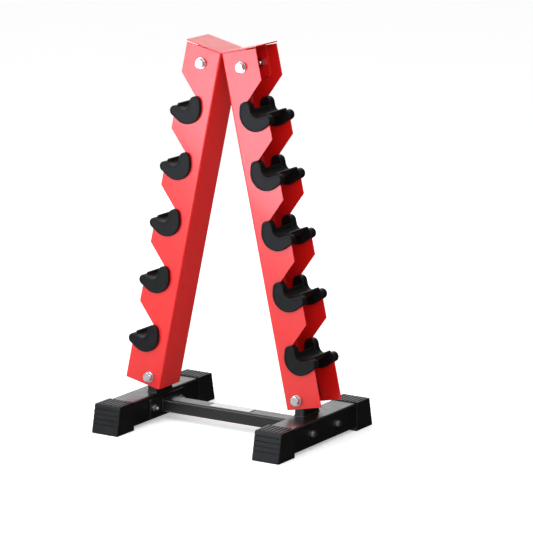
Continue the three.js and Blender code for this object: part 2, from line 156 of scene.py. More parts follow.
def softened(corners: Sequence[tuple[float, float, float]], steps: int = 8) -> list[Point]:
    """A loop whose corners are rounded.

    Args:
        corners: Each corner's place and its radius, which may be 0.
        steps: How many straight stretches stand for one rounded corner.

    Returns:
        The loop's points.
    """
    loop: list[Point] = []
    for i, (x, y, radius) in enumerate(corners):
        here = Vector((x, y))
        back = (Vector(corners[i - 1][:2]) - here).normalized()
        ahead = (Vector(corners[(i + 1) % len(corners)][:2]) - here).normalized()
        half = back.angle(ahead) / 2
        if radius == 0 or half > STRAIGHT:
            loop.append((x, y))
            continue
        middle = here + (back + ahead).normalized() * (radius / math.sin(half))
        first = here + back * (radius / math.tan(half)) - middle
        last = here + ahead * (radius / math.tan(half)) - middle
        start = math.degrees(math.atan2(first.y, first.x))
        turn = math.degrees(math.atan2(last.y, last.x)) - start
        turn = (turn + FULL_TURN / 2) % FULL_TURN - FULL_TURN / 2
        loop.extend(arc((middle.x, middle.y), radius, start, start + turn, steps))
    return loop


def rounded_box(width: float, height: float, radius: float, steps: int = 8) -> list[Point]:
    """A rectangle with rounded corners, round the origin.

    Args:
        width: Its size along X.
        height: Its size along Y.
        radius: Its corners' radius.
        steps: How many straight stretches stand for one corner.

    Returns:
        The loop's points.
    """
    x, y = width / 2, height / 2
    corners = [(-x, -y, radius), (x, -y, radius), (x, y, radius), (-x, y, radius)]
    return softened(corners, steps)


def moved_in(loop: Sequence[Point], amount: float) -> list[Point]:
    """The loop with each of its edges moved into the material.

    Args:
        loop: The loop's points.
        amount: How far every edge moves.

    Returns:
        The moved points, one for each point of the loop.
    """
    moved = []
    for i, (x, y) in enumerate(loop):
        before = (Vector((x, y)) - Vector(loop[i - 1])).normalized()
        after = (Vector(loop[(i + 1) % len(loop)]) - Vector((x, y))).normalized()
        lean = Vector((-before.y - after.y, before.x + after.x))
        step = lean * (2 * amount / lean.length_squared)
        moved.append((x + step.x, y + step.y))
    return moved


def round_rim(radius: float, steps: int = 4) -> list[Point]:
    """A rounded rim, as (how far in, how far below the face) from the face to the wall.

    Args:
        radius: The rim's radius.
        steps: How many straight stretches stand for it.

    Returns:
        The rim's points.
    """
    turns = [math.pi / 2 * i / steps for i in range(steps + 1)]
    return [(radius * (1 - math.sin(a)), radius * (1 - math.cos(a))) for a in turns]


# ---- Solids ----


class Solid:
    """Corners and faces of closed bodies, gathered before they become one mesh."""

    def __init__(self) -> None:
        """Starts with nothing in it."""
        self.corners: list[Vector] = []
        self.faces: list[tuple[int, ...]] = []

    def ring(self, points: Iterable[Sequence[float]]) -> list[int]:
        """Adds corners.

        Args:
            points: Where the corners are.

        Returns:
            The corners' numbers, in order.
        """
        start = len(self.corners)
        self.corners.extend(Vector(point) for point in points)
        return list(range(start, len(self.corners)))

    def bridge(self, first: Sequence[int], second: Sequence[int]) -> None:
        """Closes the band between two rings of the same count.

        Args:
            first: One ring's corners.
            second: The other ring's corners.
        """
        for i, corner in enumerate(first):
            after = (i + 1) % len(first)
            self.faces.append((corner, first[after], second[after], second[i]))

    def cover(self, rings: Sequence[Sequence[int]]) -> None:
        """Fills a flat face.

        Args:
            rings: The face's outer ring, and then the rings of its holes.
        """
        numbers = [corner for ring in rings for corner in ring]
        flat = [[self.corners[corner] for corner in ring] for ring in rings]
        for triangle in tessellate_polygon(flat):
            self.faces.append(tuple(numbers[i] for i in triangle))

    def thing(self, name: str, place: Matrix = LYING) -> bpy.types.Object:
        """Makes the Blender object.

        Args:
            name: The object's name.
            place: Where the solid's own axes lie in the rack's.

        Returns:
            The object, with its place in its mesh.
        """
        data = bpy.data.meshes.new(name)
        data.from_pydata([place @ corner for corner in self.corners], [], self.faces)
        made = bmesh.new()
        made.from_mesh(data)
        bmesh.ops.remove_doubles(made, verts=made.verts, dist=SAME_CORNER)
        bmesh.ops.recalc_face_normals(made, faces=made.faces)
        made.to_mesh(data)
        made.free()
        thing = bpy.data.objects.new(name, data)
        bpy.context.scene.collection.objects.link(thing)
        return thing


def prism(
    outer: Sequence[Point],
    near: float,
    far: float,
    holes: Sequence[Sequence[Point]] = (),
    rim: Rim = ((0.0, 0.0),),
) -> Solid:
    """A flat outline in X and Y given thickness along Z.

    Args:
        outer: The outline's loop.
        near: The lower face's height.
        far: The upper face's height.
        holes: The loops of its holes.
        rim: The shape of both rims, from the face to the wall.

    Returns:
        The solid.
    """
    levels = [(inset, near + drop) for inset, drop in rim]
    levels += [(inset, far - drop) for inset, drop in reversed(rim)]
    solid = Solid()
    stacks = []
    for loop in (outer, *holes):
        rings = [
            solid.ring((x, y, height) for x, y in moved_in(loop, inset)) for inset, height in levels
        ]
        for lower, upper in zip(rings, rings[1:]):
            solid.bridge(lower, upper)
        stacks.append(rings)
    solid.cover([rings[0] for rings in stacks])
    solid.cover([rings[-1] for rings in stacks])
    return solid


def changed(thing: bpy.types.Object) -> bpy.types.Object:
    """Takes up an object's modifiers into its mesh.

    Args:
        thing: The object.

    Returns:
        The same object.
    """
    graph = bpy.context.evaluated_depsgraph_get()
    result = bpy.data.meshes.new_from_object(thing.evaluated_get(graph))
    spare = thing.data
    thing.modifiers.clear()
    thing.data = result
    bpy.data.meshes.remove(spare)
    result.name = thing.name
    return thing


def joined(thing: bpy.types.Object, tool: bpy.types.Object, how: Join) -> bpy.types.Object:
    """Joins a tool piece to an object, or cuts the object with it, and uses the tool up.

    Args:
        thing: The object that changes.
        tool: The piece that is added or taken away.
        how: Which of the two.

    Returns:
        The changed object.
    """
    step = thing.modifiers.new("join", "BOOLEAN")
    step.solver = "EXACT"
    step.operation = how.value
    step.object = tool
    changed(thing)
    spare = tool.data
    bpy.data.objects.remove(tool)
    bpy.data.meshes.remove(spare)
    return thing


def polished(thing: bpy.types.Object, crease: float = CREASE) -> bpy.types.Object:
    """Shades an object smooth across its rims and flat on its faces.

    Args:
        thing: The object.
        crease: Edges that turn by more than this stay sharp, in radians.

    Returns:
        The same object.
    """
    thing.data.shade_smooth()
    thing.data.set_sharp_from_angle(angle=crease)
    step = thing.modifiers.new("normals", "WEIGHTED_NORMAL")
    step.keep_sharp = True
    return changed(thing)


def copied(thing: bpy.types.Object, name: str, place: Matrix) -> bpy.types.Object:
    """Makes a copy of an object somewhere else.

    Args:
        thing: The object to copy.
        name: The copy's name.
        place: The move that is baked into the copy's mesh.

    Returns:
        The copy.
    """
    data = thing.data.copy()
    data.transform(place)
    data.name = name
    twin = bpy.data.objects.new(name, data)
    bpy.context.scene.collection.objects.link(twin)
    return twin


def discarded(thing: bpy.types.Object) -> None:
    """Removes an object that only served as a pattern.

    Args:
        thing: The object.
    """
    data = thing.data
    bpy.data.objects.remove(thing)
    bpy.data.meshes.remove(data)


# ---- Round and threaded work, made along Z ----


@dataclass(frozen=True)
class Lathe:
    """Rings round the Z axis, each a circle or a hexagon."""

    sides: int = 48

    def angles(self) -> list[float]:
        """The angle of every corner of a ring, in radians."""
        return [math.tau * i / self.sides for i in range(self.sides)]

    def circle(self, radius: float, height: float) -> list[Vector]:
        """A circle.

        Args:
            radius: Its radius.
            height: Its height.

        Returns:
            The ring's corners.
        """
        return [
            Vector((radius * math.cos(a), radius * math.sin(a), height)) for a in self.angles()
        ]

    def hexagon(self, flats: float, height: float, chamfer: float = 0.0) -> list[Vector]:
        """A hexagon with a corner on X, whose corners can be turned down by a chamfer.

        Args:
            flats: Its size across the flats.
            height: The height of its face.
            chamfer: How much the height changes for each metre outside the flats.

        Returns:
            The ring's corners.
        """
        ring = []
        for a in self.angles():
            reach = flats / 2 / math.cos(a % math.radians(60) - math.radians(30))
            level = height - chamfer * (reach - flats / 2)
            ring.append(Vector((reach * math.cos(a), reach * math.sin(a), level)))
        return ring

    def turned(self, rings: Sequence[Sequence[Vector]], ends: bool) -> Solid:
        """Joins rings into a solid.

        Args:
            rings: The rings in order.
            ends: Whether the first and last are covered; if not, they are joined to each other.

        Returns:
            The solid.
        """
        solid = Solid()
        numbers = [solid.ring(ring) for ring in rings]
        for first, second in zip(numbers, numbers[1:]):
            solid.bridge(first, second)
        if ends:
            solid.cover([numbers[0]])
            solid.cover([numbers[-1]])
        else:
            solid.bridge(numbers[-1], numbers[0])
        return solid


@dataclass(frozen=True)
class Thread:
    """The helical thread at the tip of a bolt."""

    pitch: float = 2.0 * MM
    depth: float = 1.1 * MM
    rows: int = 8

    def rings(self, lathe: Lathe, radius: float, start: float, tip: float) -> list[list[Vector]]:
        """The thread's rings.

        Args:
            lathe: What divides the circle.
            radius: The thread's outer radius.
            start: Where it starts.
            tip: Where it ends, in a chamfer.

        Returns:
            Rings from start to tip.
        """
        count = round((tip - start) / self.pitch * self.rows)
        rings = []
        for i in range(count + 1):
            height = start + (tip - start) * i / count
            near_end = min(1.0, i / self.rows, (count - i) / self.rows)
            pointed = max(0.0, 1 - (count - i) / self.rows) * self.depth
            ring = []
            for a in lathe.angles():
                phase = (i / self.rows - a / math.tau) % 1
                valley = 1 - abs(2 * phase - 1)
                reach = radius - pointed - self.depth * valley * near_end
                ring.append(Vector((reach * math.cos(a), reach * math.sin(a), height)))
            rings.append(ring)
        return rings


# ---- Finishes ----


@dataclass(frozen=True)
class Grain:
    """One random grain in a finish, and the bumps that it raises."""

    size: float
    detail: float = 3.0
    stretch: tuple[float, float, float] = (1.0, 1.0, 1.0)
    strength: float = 0.0
    depth: float = 0.0


class Bench:
    """A short way to write one material's nodes."""

    def __init__(self, name: str) -> None:
        """Starts a material.

        Args:
            name: The material's name.
        """
        self.material = bpy.data.materials.new(name)
        self.material.use_nodes = True
        self.tree = self.material.node_tree
        self.shader = self.tree.nodes["Principled BSDF"]
        self.place = self.tree.nodes.new("ShaderNodeTexCoord").outputs["Object"]

    def node(self, kind: str, **inputs: object) -> bpy.types.Node:
        """Adds a node.

        Args:
            kind: The node's type, without the ShaderNode in front.
            **inputs: Values or sockets for its inputs, with _ for a space.

        Returns:
            The node.
        """
        node = self.tree.nodes.new(f"ShaderNode{kind}")
        for name, value in inputs.items():
            socket = node.inputs[name.replace("_", " ")]
            if isinstance(value, bpy.types.NodeSocket):
                self.tree.links.new(value, socket)
            else:
                socket.default_value = value
        return node

    def noise(self, grain: Grain) -> bpy.types.NodeSocket:
        """Lays a soft random grain.

        Args:
            grain: Its size, how many finer grains lie over it and how it is stretched.

        Returns:
            A value round 0.5.
        """
        scaled = self.node("Mapping", Vector=self.place, Scale=grain.stretch).outputs["Vector"]
        noise = self.node("TexNoise", Vector=scaled, Scale=1 / grain.size, Detail=grain.detail)
        return noise.outputs["Fac"]

    def spread(
        self, value: bpy.types.NodeSocket, low: float, high: float, soft: float = 0.25
    ) -> bpy.types.NodeSocket:
        """Brings a grain between two values.

        Args:
            value: The grain.
            low: What its dark parts give.
            high: What its light parts give.
            soft: How far from 0.5 the grain is taken to reach.

        Returns:
            The new value.
        """
        node = self.node("MapRange", Value=value, From_Min=0.5 - soft, From_Max=0.5 + soft)
        node.inputs["To Min"].default_value = low
        node.inputs["To Max"].default_value = high
        return node.outputs["Result"]

    def tint(
        self, value: bpy.types.NodeSocket, dark: Sequence[float], light: Sequence[float]
    ) -> bpy.types.NodeSocket:
        """Lays a value between two colours.

        Args:
            value: From 0 for the first colour to 1 for the second.
            dark: The first colour.
            light: The second colour.

        Returns:
            The colour.
        """
        node = self.tree.nodes.new("ShaderNodeMix")
        node.data_type = "RGBA"
        self.tree.links.new(value, node.inputs["Factor"])
        node.inputs["A"].default_value = (*dark, 1)
        node.inputs["B"].default_value = (*light, 1)
        return next(out for out in node.outputs if out.type == "RGBA")

    def wear(self, name: str, value: object) -> None:
        """Sets one of the shader's inputs.

        Args:
            name: The input's name.
            value: A value or a socket.
        """
        if isinstance(value, bpy.types.NodeSocket):
            self.tree.links.new(value, self.shader.inputs[name])
        else:
            self.shader.inputs[name].default_value = value

    def relief(self, *layers: tuple[bpy.types.NodeSocket, Grain]) -> None:
        """Lays bumps over each other.

        Args:
            *layers: Each a height, and the grain that says how strong and deep its bumps are.
        """
        normal = None
        for height, grain in layers:
            bump = self.node("Bump", Height=height, Strength=grain.strength, Distance=grain.depth)
            if normal is not None:
                self.tree.links.new(normal, bump.inputs["Normal"])
            normal = bump.outputs["Normal"]
        self.tree.links.new(normal, self.shader.inputs["Normal"])


@dataclass(frozen=True)
class Finish(ABC):
    """What a surface is made of and how it is finished."""

    slot: str
    dark: tuple[float, float, float]
    light: tuple[float, float, float]
    roughness: tuple[float, float]

    @abstractmethod
    def dress(self, bench: Bench) -> None:
        """Builds the finish's nodes.

        Args:
            bench: Where the nodes are written.
        """

    def material(self) -> bpy.types.Material:
        """The finish's material, made the first time that it is asked for.

        Returns:
            The material.
        """
        name = f"{self.slot}_finish"
        if name not in bpy.data.materials:
            self.dress(Bench(name))
        return bpy.data.materials[name]


@dataclass(frozen=True)
class PowderCoat(Finish):
    """Baked paint with a slight orange peel under a clear gloss."""

    cloud: Grain = Grain(90 * MM, 2)
    patch: Grain = Grain(25 * MM, 4)
    peel: Grain = Grain(2.2 * MM, strength=0.5, depth=0.08 * MM)
    speck: Grain = Grain(0.35 * MM, 2, strength=0.3, depth=0.02 * MM)
    speck_share: float = 0.2
    coat: float = 0.35
    coat_roughness: float = 0.12

    def dress(self, bench: Bench) -> None:
        """Lays the paint's cloudy colour, its grain and its orange peel.

        Args:
            bench: Where the nodes are written.
        """
        peel, speck = bench.noise(self.peel), bench.noise(self.speck)
        tone = bench.node("Math", Value=bench.noise(self.cloud))
        tone.operation = "MULTIPLY_ADD"
        tone.inputs[1].default_value = 1 - self.speck_share
        bench.tree.links.new(bench.spread(speck, 0.0, self.speck_share), tone.inputs[2])
        bench.wear("Base Color", bench.tint(tone.outputs["Value"], self.dark, self.light))
        bench.wear("Roughness", bench.spread(bench.noise(self.patch), *self.roughness))
        bench.wear("Coat Weight", self.coat)
        bench.wear("Coat Roughness", self.coat_roughness)
        bench.relief((peel, self.peel), (speck, self.speck))


@dataclass(frozen=True)
class MouldedPlastic(Finish):
    """Satin plastic with the fine leathery grain of a textured mould."""

    cell: Grain = Grain(0.9 * MM, strength=0.35, depth=0.04 * MM)
    tooth: Grain = Grain(0.3 * MM, 2, strength=0.2, depth=0.02 * MM)
    flow: Grain = Grain(18 * MM, 4, (1.0, 2.5, 1.0))
    specular: float = 0.15

    def dress(self, bench: Bench) -> None:
        """Lays the mould's grain and the faint flow marks in it.

        Args:
            bench: Where the nodes are written.
        """
        cells = bench.node("TexVoronoi", Vector=bench.place, Scale=1 / self.cell.size)
        flow, tooth = bench.noise(self.flow), bench.noise(self.tooth)
        bench.wear("Base Color", bench.tint(bench.spread(flow, 0, 1), self.dark, self.light))
        bench.wear("Roughness", bench.spread(flow, *self.roughness))
        bench.wear("Specular IOR Level", self.specular)
        bench.relief((cells.outputs["Distance"], self.cell), (tooth, self.tooth))


@dataclass(frozen=True)
class Rubber(Finish):
    """Dull rubber with a dry bloom and small specks in it."""

    bloom: Grain = Grain(22 * MM, 5)
    speck: Grain = Grain(0.7 * MM, strength=0.5, depth=0.05 * MM)
    wave: Grain = Grain(4 * MM, 2, strength=0.25, depth=0.12 * MM)
    speck_share: float = 0.3
    speck_reach: float = 0.2
    specular: float = 0.2

    def dress(self, bench: Bench) -> None:
        """Lays the bloom, the specks and the rubber's fine tooth.

        Args:
            bench: Where the nodes are written.
        """
        bloom, speck = bench.noise(self.bloom), bench.noise(self.speck)
        spots = bench.spread(speck, 0, self.speck_share, self.speck_reach)
        both = bench.node("Math", Value=bench.spread(bloom, 0, 1 - self.speck_share))
        both.operation = "ADD"
        bench.tree.links.new(spots, both.inputs[1])
        bench.wear("Base Color", bench.tint(both.outputs["Value"], self.dark, self.light))
        bench.wear("Roughness", bench.spread(bloom, *self.roughness))
        bench.wear("Specular IOR Level", self.specular)
        bench.relief((speck, self.speck), (bench.noise(self.wave), self.wave))


@dataclass(frozen=True)
class ZincPlate(Finish):
    """Bright zinc over steel, with the fine marks of rolling and tumbling."""

    cloud: Grain = Grain(6 * MM, 4, strength=0.1, depth=0.05 * MM)
    mark: Grain = Grain(0.5 * MM, 4, (1.0, 0.15, 1.0), strength=0.25, depth=0.02 * MM)

    def dress(self, bench: Bench) -> None:
        """Lays the plating's cloudy tint and its fine scratches.

        Args:
            bench: Where the nodes are written.
        """
        cloud, mark = bench.noise(self.cloud), bench.noise(self.mark)
        bench.wear("Metallic", 1.0)
        bench.wear("Base Color", bench.tint(bench.spread(cloud, 0, 1), self.dark, self.light))
        bench.wear("Roughness", bench.spread(cloud, *self.roughness))
        bench.relief((mark, self.mark), (cloud, self.cloud))


@dataclass(frozen=True)
class BrushedPlate(Finish):
    """A thin light plate, brushed along its length."""

    line: Grain = Grain(3 * MM, 4, (0.12, 9.0, 1.0), strength=0.3, depth=0.02 * MM)
    metal: float = 0.1

    def dress(self, bench: Bench) -> None:
        """Lays the brush lines.

        Args:
            bench: Where the nodes are written.
        """
        lines = bench.noise(self.line)
        bench.wear("Metallic", self.metal)
        bench.wear("Base Color", bench.tint(bench.spread(lines, 0, 1), self.dark, self.light))
        bench.wear("Roughness", bench.spread(lines, *self.roughness))
        bench.relief((lines, self.line))


RED = PowderCoat("red_powder_coat", (0.54, 0.005, 0.004), (0.62, 0.007, 0.006), (0.28, 0.36))
BLACK = PowderCoat(
    "black_powder_coat",
    (0.0015, 0.0015, 0.0015),
    (0.004, 0.004, 0.004),
    (0.30, 0.40),
    peel=Grain(2.2 * MM, strength=0.5, depth=0.1 * MM),
    speck=Grain(0.35 * MM, 2, strength=0.3, depth=0.025 * MM),
    coat=0.15,
    coat_roughness=0.25,
)
CAP_RUBBER = Rubber("cap_rubber", (0.003, 0.003, 0.003), (0.008, 0.008, 0.008), (0.32, 0.42))
PLASTIC = MouldedPlastic(
    "cradle_plastic", (0.003, 0.003, 0.003), (0.007, 0.007, 0.0075), (0.38, 0.5)
)
ZINC = ZincPlate("bright_zinc", (0.56, 0.57, 0.58), (0.70, 0.71, 0.72), (0.16, 0.26))
BADGE = BrushedPlate("badge_plate", (0.55, 0.555, 0.56), (0.66, 0.665, 0.67), (0.38, 0.5))


# ---- Pieces and sub-assemblies ----


@dataclass
class Piece:
    """One made object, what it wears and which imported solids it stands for."""

    thing: bpy.types.Object
    finish: Finish
    stands_for: tuple[str, ...] = ()

    def settle(self) -> None:
        """Dresses the piece and hands it to the frame."""
        self.thing.data.materials.clear()
        self.thing.data.materials.append(self.finish.material())
        if self.stands_for:
            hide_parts(*self.stands_for)
        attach(self.thing, BODY)


class SubAssembly(ABC):
    """A group of pieces that are made together."""

    @abstractmethod
    def build(self) -> list[Piece]:
        """Makes the sub-assembly's pieces.

        Returns:
            The pieces.
        """

    def install(self) -> None:
        """Makes, dresses and reports the pieces."""
        for piece in self.build():
            piece.settle()
            LOG.info("%s: %s, %d faces", type(self).__name__, piece.thing.name,
                     len(piece.thing.data.polygons))


def both_sides(
    pattern: bpy.types.Object, name: str, finish: Finish, node: str | None = None
) -> list[Piece]:
    """Sets copies of a right-hand pattern on both sides of the rack, and uses the pattern up.

    Args:
        pattern: The right-hand piece.
        name: What the copies are called, after their side.
        finish: What they wear.
        node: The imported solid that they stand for, after its side, if there is one.

    Returns:
        The left-hand piece and the right-hand one.
    """
    pieces = []
    for side in Side:
        stands_for = (f"{side.value}_{node}",) if node else ()
        thing = copied(pattern, f"{side.value}_{name}", side.turn)
        pieces.append(Piece(thing, finish, stands_for))
    discarded(pattern)
    return pieces


@dataclass(frozen=True)
class Extent:
    """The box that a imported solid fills."""

    low: Vector
    high: Vector

    @classmethod
    def of(cls, node: str) -> Extent:
        """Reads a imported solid's box.

        Args:
            node: The solid's name.

        Returns:
            Its box.
        """
        return cls(*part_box(node))

    @property
    def middle(self) -> Vector:
        """The box's middle."""
        return (self.low + self.high) / 2

    @property
    def size(self) -> Vector:
        """The box's sides."""
        return self.high - self.low


@dataclass(frozen=True)
class Stance:
    """How the right-hand upright leans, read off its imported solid."""

    depth: float
    steepest: float = math.radians(45)
    halvings: int = 60
    angle: float = field(init=False)
    length: float = field(init=False)
    foot: Vector = field(init=False)

    def __post_init__(self) -> None:
        """Finds the lean at which a bar of this depth fills the upright's box."""
        box = Extent.of("right_upright")
        wide, tall = box.size.x, box.size.z
        flatter, steeper = 0.0, self.steepest
        for _ in range(self.halvings):
            angle = (flatter + steeper) / 2
            reach = tall * math.sin(angle) + self.depth * math.cos(2 * angle)
            if reach < wide * math.cos(angle):
                flatter = angle
            else:
                steeper = angle
        length = (tall - self.depth * math.sin(angle)) / math.cos(angle)
        object.__setattr__(self, "angle", angle)
        object.__setattr__(self, "length", length)
        bottom = Vector((box.low.x + length * math.sin(angle), 0, box.low.z))
        object.__setattr__(self, "foot", bottom)

    def place(self, side: Side) -> Matrix:
        """Where the leaning frame of one upright lies in the rack's.

        Args:
            side: Which upright.

        Returns:
            The placing.
        """
        lean = Matrix.Rotation(-self.angle, 4, "Y")
        return side.turn @ Matrix.Translation(self.foot) @ lean


@dataclass(frozen=True)
class Notch:
    """One open notch in a flange, in the leaning frame."""

    corner: float
    edge: float
    radius: float = 32 * MM
    inset: float = 29 * MM
    roof: float = 42
    floor: float = 5
    steps: int = 40

    @property
    def middle(self) -> Point:
        """The middle of the notch's round.

        Returns:
            Its X and Z.
        """
        slope = math.radians(self.roof)
        run = (self.inset + self.radius * math.sin(slope)) / math.cos(slope)
        x = self.edge - self.inset
        return x, self.corner - run * math.sin(slope) - self.radius * math.cos(slope)

    def path(self, edge: float, shrink: float = 0.0) -> list[Point]:
        """The notch's line from its floor to its roof.

        Args:
            edge: Where the line leaves the flange.
            shrink: How much smaller the notch is made all round.

        Returns:
            The points, from the lower one on the edge to the upper one.
        """
        x, z = self.middle
        radius = self.radius - shrink
        bow = arc((x, z), radius, 270 + self.floor, 90 + self.roof, self.steps)
        low = bow[0][1] + (edge - bow[0][0]) * math.tan(math.radians(self.floor))
        high = bow[-1][1] + (edge - bow[-1][0]) * math.tan(math.radians(self.roof))
        return [(edge, low), *bow, (edge, high)]


@dataclass(frozen=True)
class Channel:
    """The folded and notched steel channel of an upright."""

    stance: Stance
    width: float = 97.2 * MM
    depth: float = CHANNEL_DEPTH
    sheet: float = 2.5 * MM
    bend: float = 5 * MM
    bend_steps: int = 8
    first_notch: float = 78.5 * MM
    pitches: tuple[float, ...] = (147 * MM, 150 * MM, 153 * MM, 159.5 * MM)
    rim: float = 0.6 * MM
    hole: float = 7.4 * MM
    top_hole_drop: float = 40 * MM
    low_hole_rise: float = 22.8 * MM
    low_hole_inset: float = 34.4 * MM

    def notches(self) -> list[Notch]:
        """The notches, from the top down.

        Returns:
            The notches.
        """
        heights = [self.stance.length - self.first_notch]
        for pitch in self.pitches:
            heights.append(heights[-1] - pitch)
        return [Notch(height, self.depth) for height in heights]

    @property
    def inside(self) -> float:
        """How far the flanges' inner faces are from the middle."""
        return self.width / 2 - self.sheet

    @property
    def top_hole(self) -> Point:
        """Where the top bolts go through the flanges."""
        return self.depth / 2, self.stance.length - self.top_hole_drop

    @property
    def low_hole(self) -> Point:
        """Where the post's bolt goes through the flanges."""
        return self.low_hole_inset, self.low_hole_rise

    @property
    def web_half(self) -> float:
        """Half of the web's flat part."""
        return self.width / 2 - self.bend

    @property
    def flange_start(self) -> float:
        """Where a flange starts in the flat pattern."""
        return self.web_half + self.bend * math.pi / 2

    def folded(self, across: float, up: float, into: float) -> Vector:
        """Where a point of the flat pattern lies once the sheet is folded.

        Args:
            across: Its place across the pattern, from the web's middle.
            up: Its place along the channel.
            into: How deep it is below the outer skin.

        Returns:
            The point in the leaning frame.
        """
        side = math.copysign(1, across)
        reach = abs(across)
        if reach <= self.web_half:
            return Vector((into, across, up))
        if reach <= self.flange_start:
            turn = (reach - self.web_half) / self.bend
            radius = self.bend - into
            x = self.bend - radius * math.cos(turn)
            return Vector((x, side * (self.web_half + radius * math.sin(turn)), up))
        x = self.bend + reach - self.flange_start
        return Vector((x, side * (self.width / 2 - into), up))

    def levels(self) -> list[Point]:
        """The sheet's cut edge, as (how far in, how deep below the outer skin).

        Returns:
            The edge's points, from the outer skin to the inner.
        """
        rim = round_rim(self.rim, 3)
        return [*rim, *((inset, self.sheet - drop) for inset, drop in reversed(rim))]

    def fold_lines(self) -> list[float]:
        """Places the lines that stand for both bends across the flat pattern.

        Returns:
            Their places, from left to right.
        """
        bends = [
            self.web_half + self.bend * math.pi / 2 * i / self.bend_steps
            for i in range(self.bend_steps + 1)
        ]
        return [-x for x in reversed(bends)] + bends

    def free_edge(self) -> list[Point]:
        """Draws the right flange's notched edge in the flat pattern.

        Returns:
            The edge's points, from the bottom up.
        """
        edge = [(self.depth, 0.0)]
        for notch in reversed(self.notches()):
            edge.extend(notch.path(self.depth))
        edge.append((self.depth, self.stance.length))
        across = self.flange_start - self.bend
        return [(x + across, z) for x, z in edge]

    def pattern(self) -> Solid:
        """The whole channel, folded up from its flat pattern.

        Returns:
            The solid, in the leaning frame.
        """
        across = self.flange_start - self.bend
        folds, right = self.fold_lines(), self.free_edge()
        left = [(-x, z) for x, z in reversed(right)]
        bottom = [(x, 0.0) for x in folds]
        top = [(x, self.stance.length) for x in reversed(folds)]
        holes = [
            hole((side * (x + across), z), self.hole)
            for side in (1, -1)
            for x, z in (self.top_hole, self.low_hole)
        ]
        solid = Solid()
        stacks = []
        for loop in (bottom + right + top + left, *holes):
            rings = [
                solid.ring(self.folded(x, z, into) for x, z in moved_in(loop, inset))
                for inset, into in self.levels()
            ]
            for lower, upper in zip(rings, rings[1:]):
                solid.bridge(lower, upper)
            stacks.append(rings)
        for skin in (0, -1):
            ring = stacks[0][skin]
            self.cover_skin(solid, ring, [stack[skin] for stack in stacks[1:]], len(folds), len(right))
        return solid

    def cover_skin(
        self, solid: Solid, ring: list[int], holes: list[list[int]], folds: int, edge: int
    ) -> None:
        """Fills one skin: two flanges, with strips over the bends and the web between them.

        Args:
            solid: What the faces are added to.
            ring: The skin's outer ring.
            holes: The rings of its holes, the right flange's first.
            folds: How many fold lines cross the pattern.
            edge: How many corners one flange's free edge has.
        """
        top = folds + edge
        for i in range(folds - 1):
            above = top + folds - 1 - i
            solid.faces.append((ring[i], ring[i + 1], ring[above - 1], ring[above]))
        half = len(holes) // 2
        solid.cover([ring[folds - 1 : top + 1], *holes[:half]])
        solid.cover([ring[top + folds - 1 :] + ring[:1], *holes[half:]])


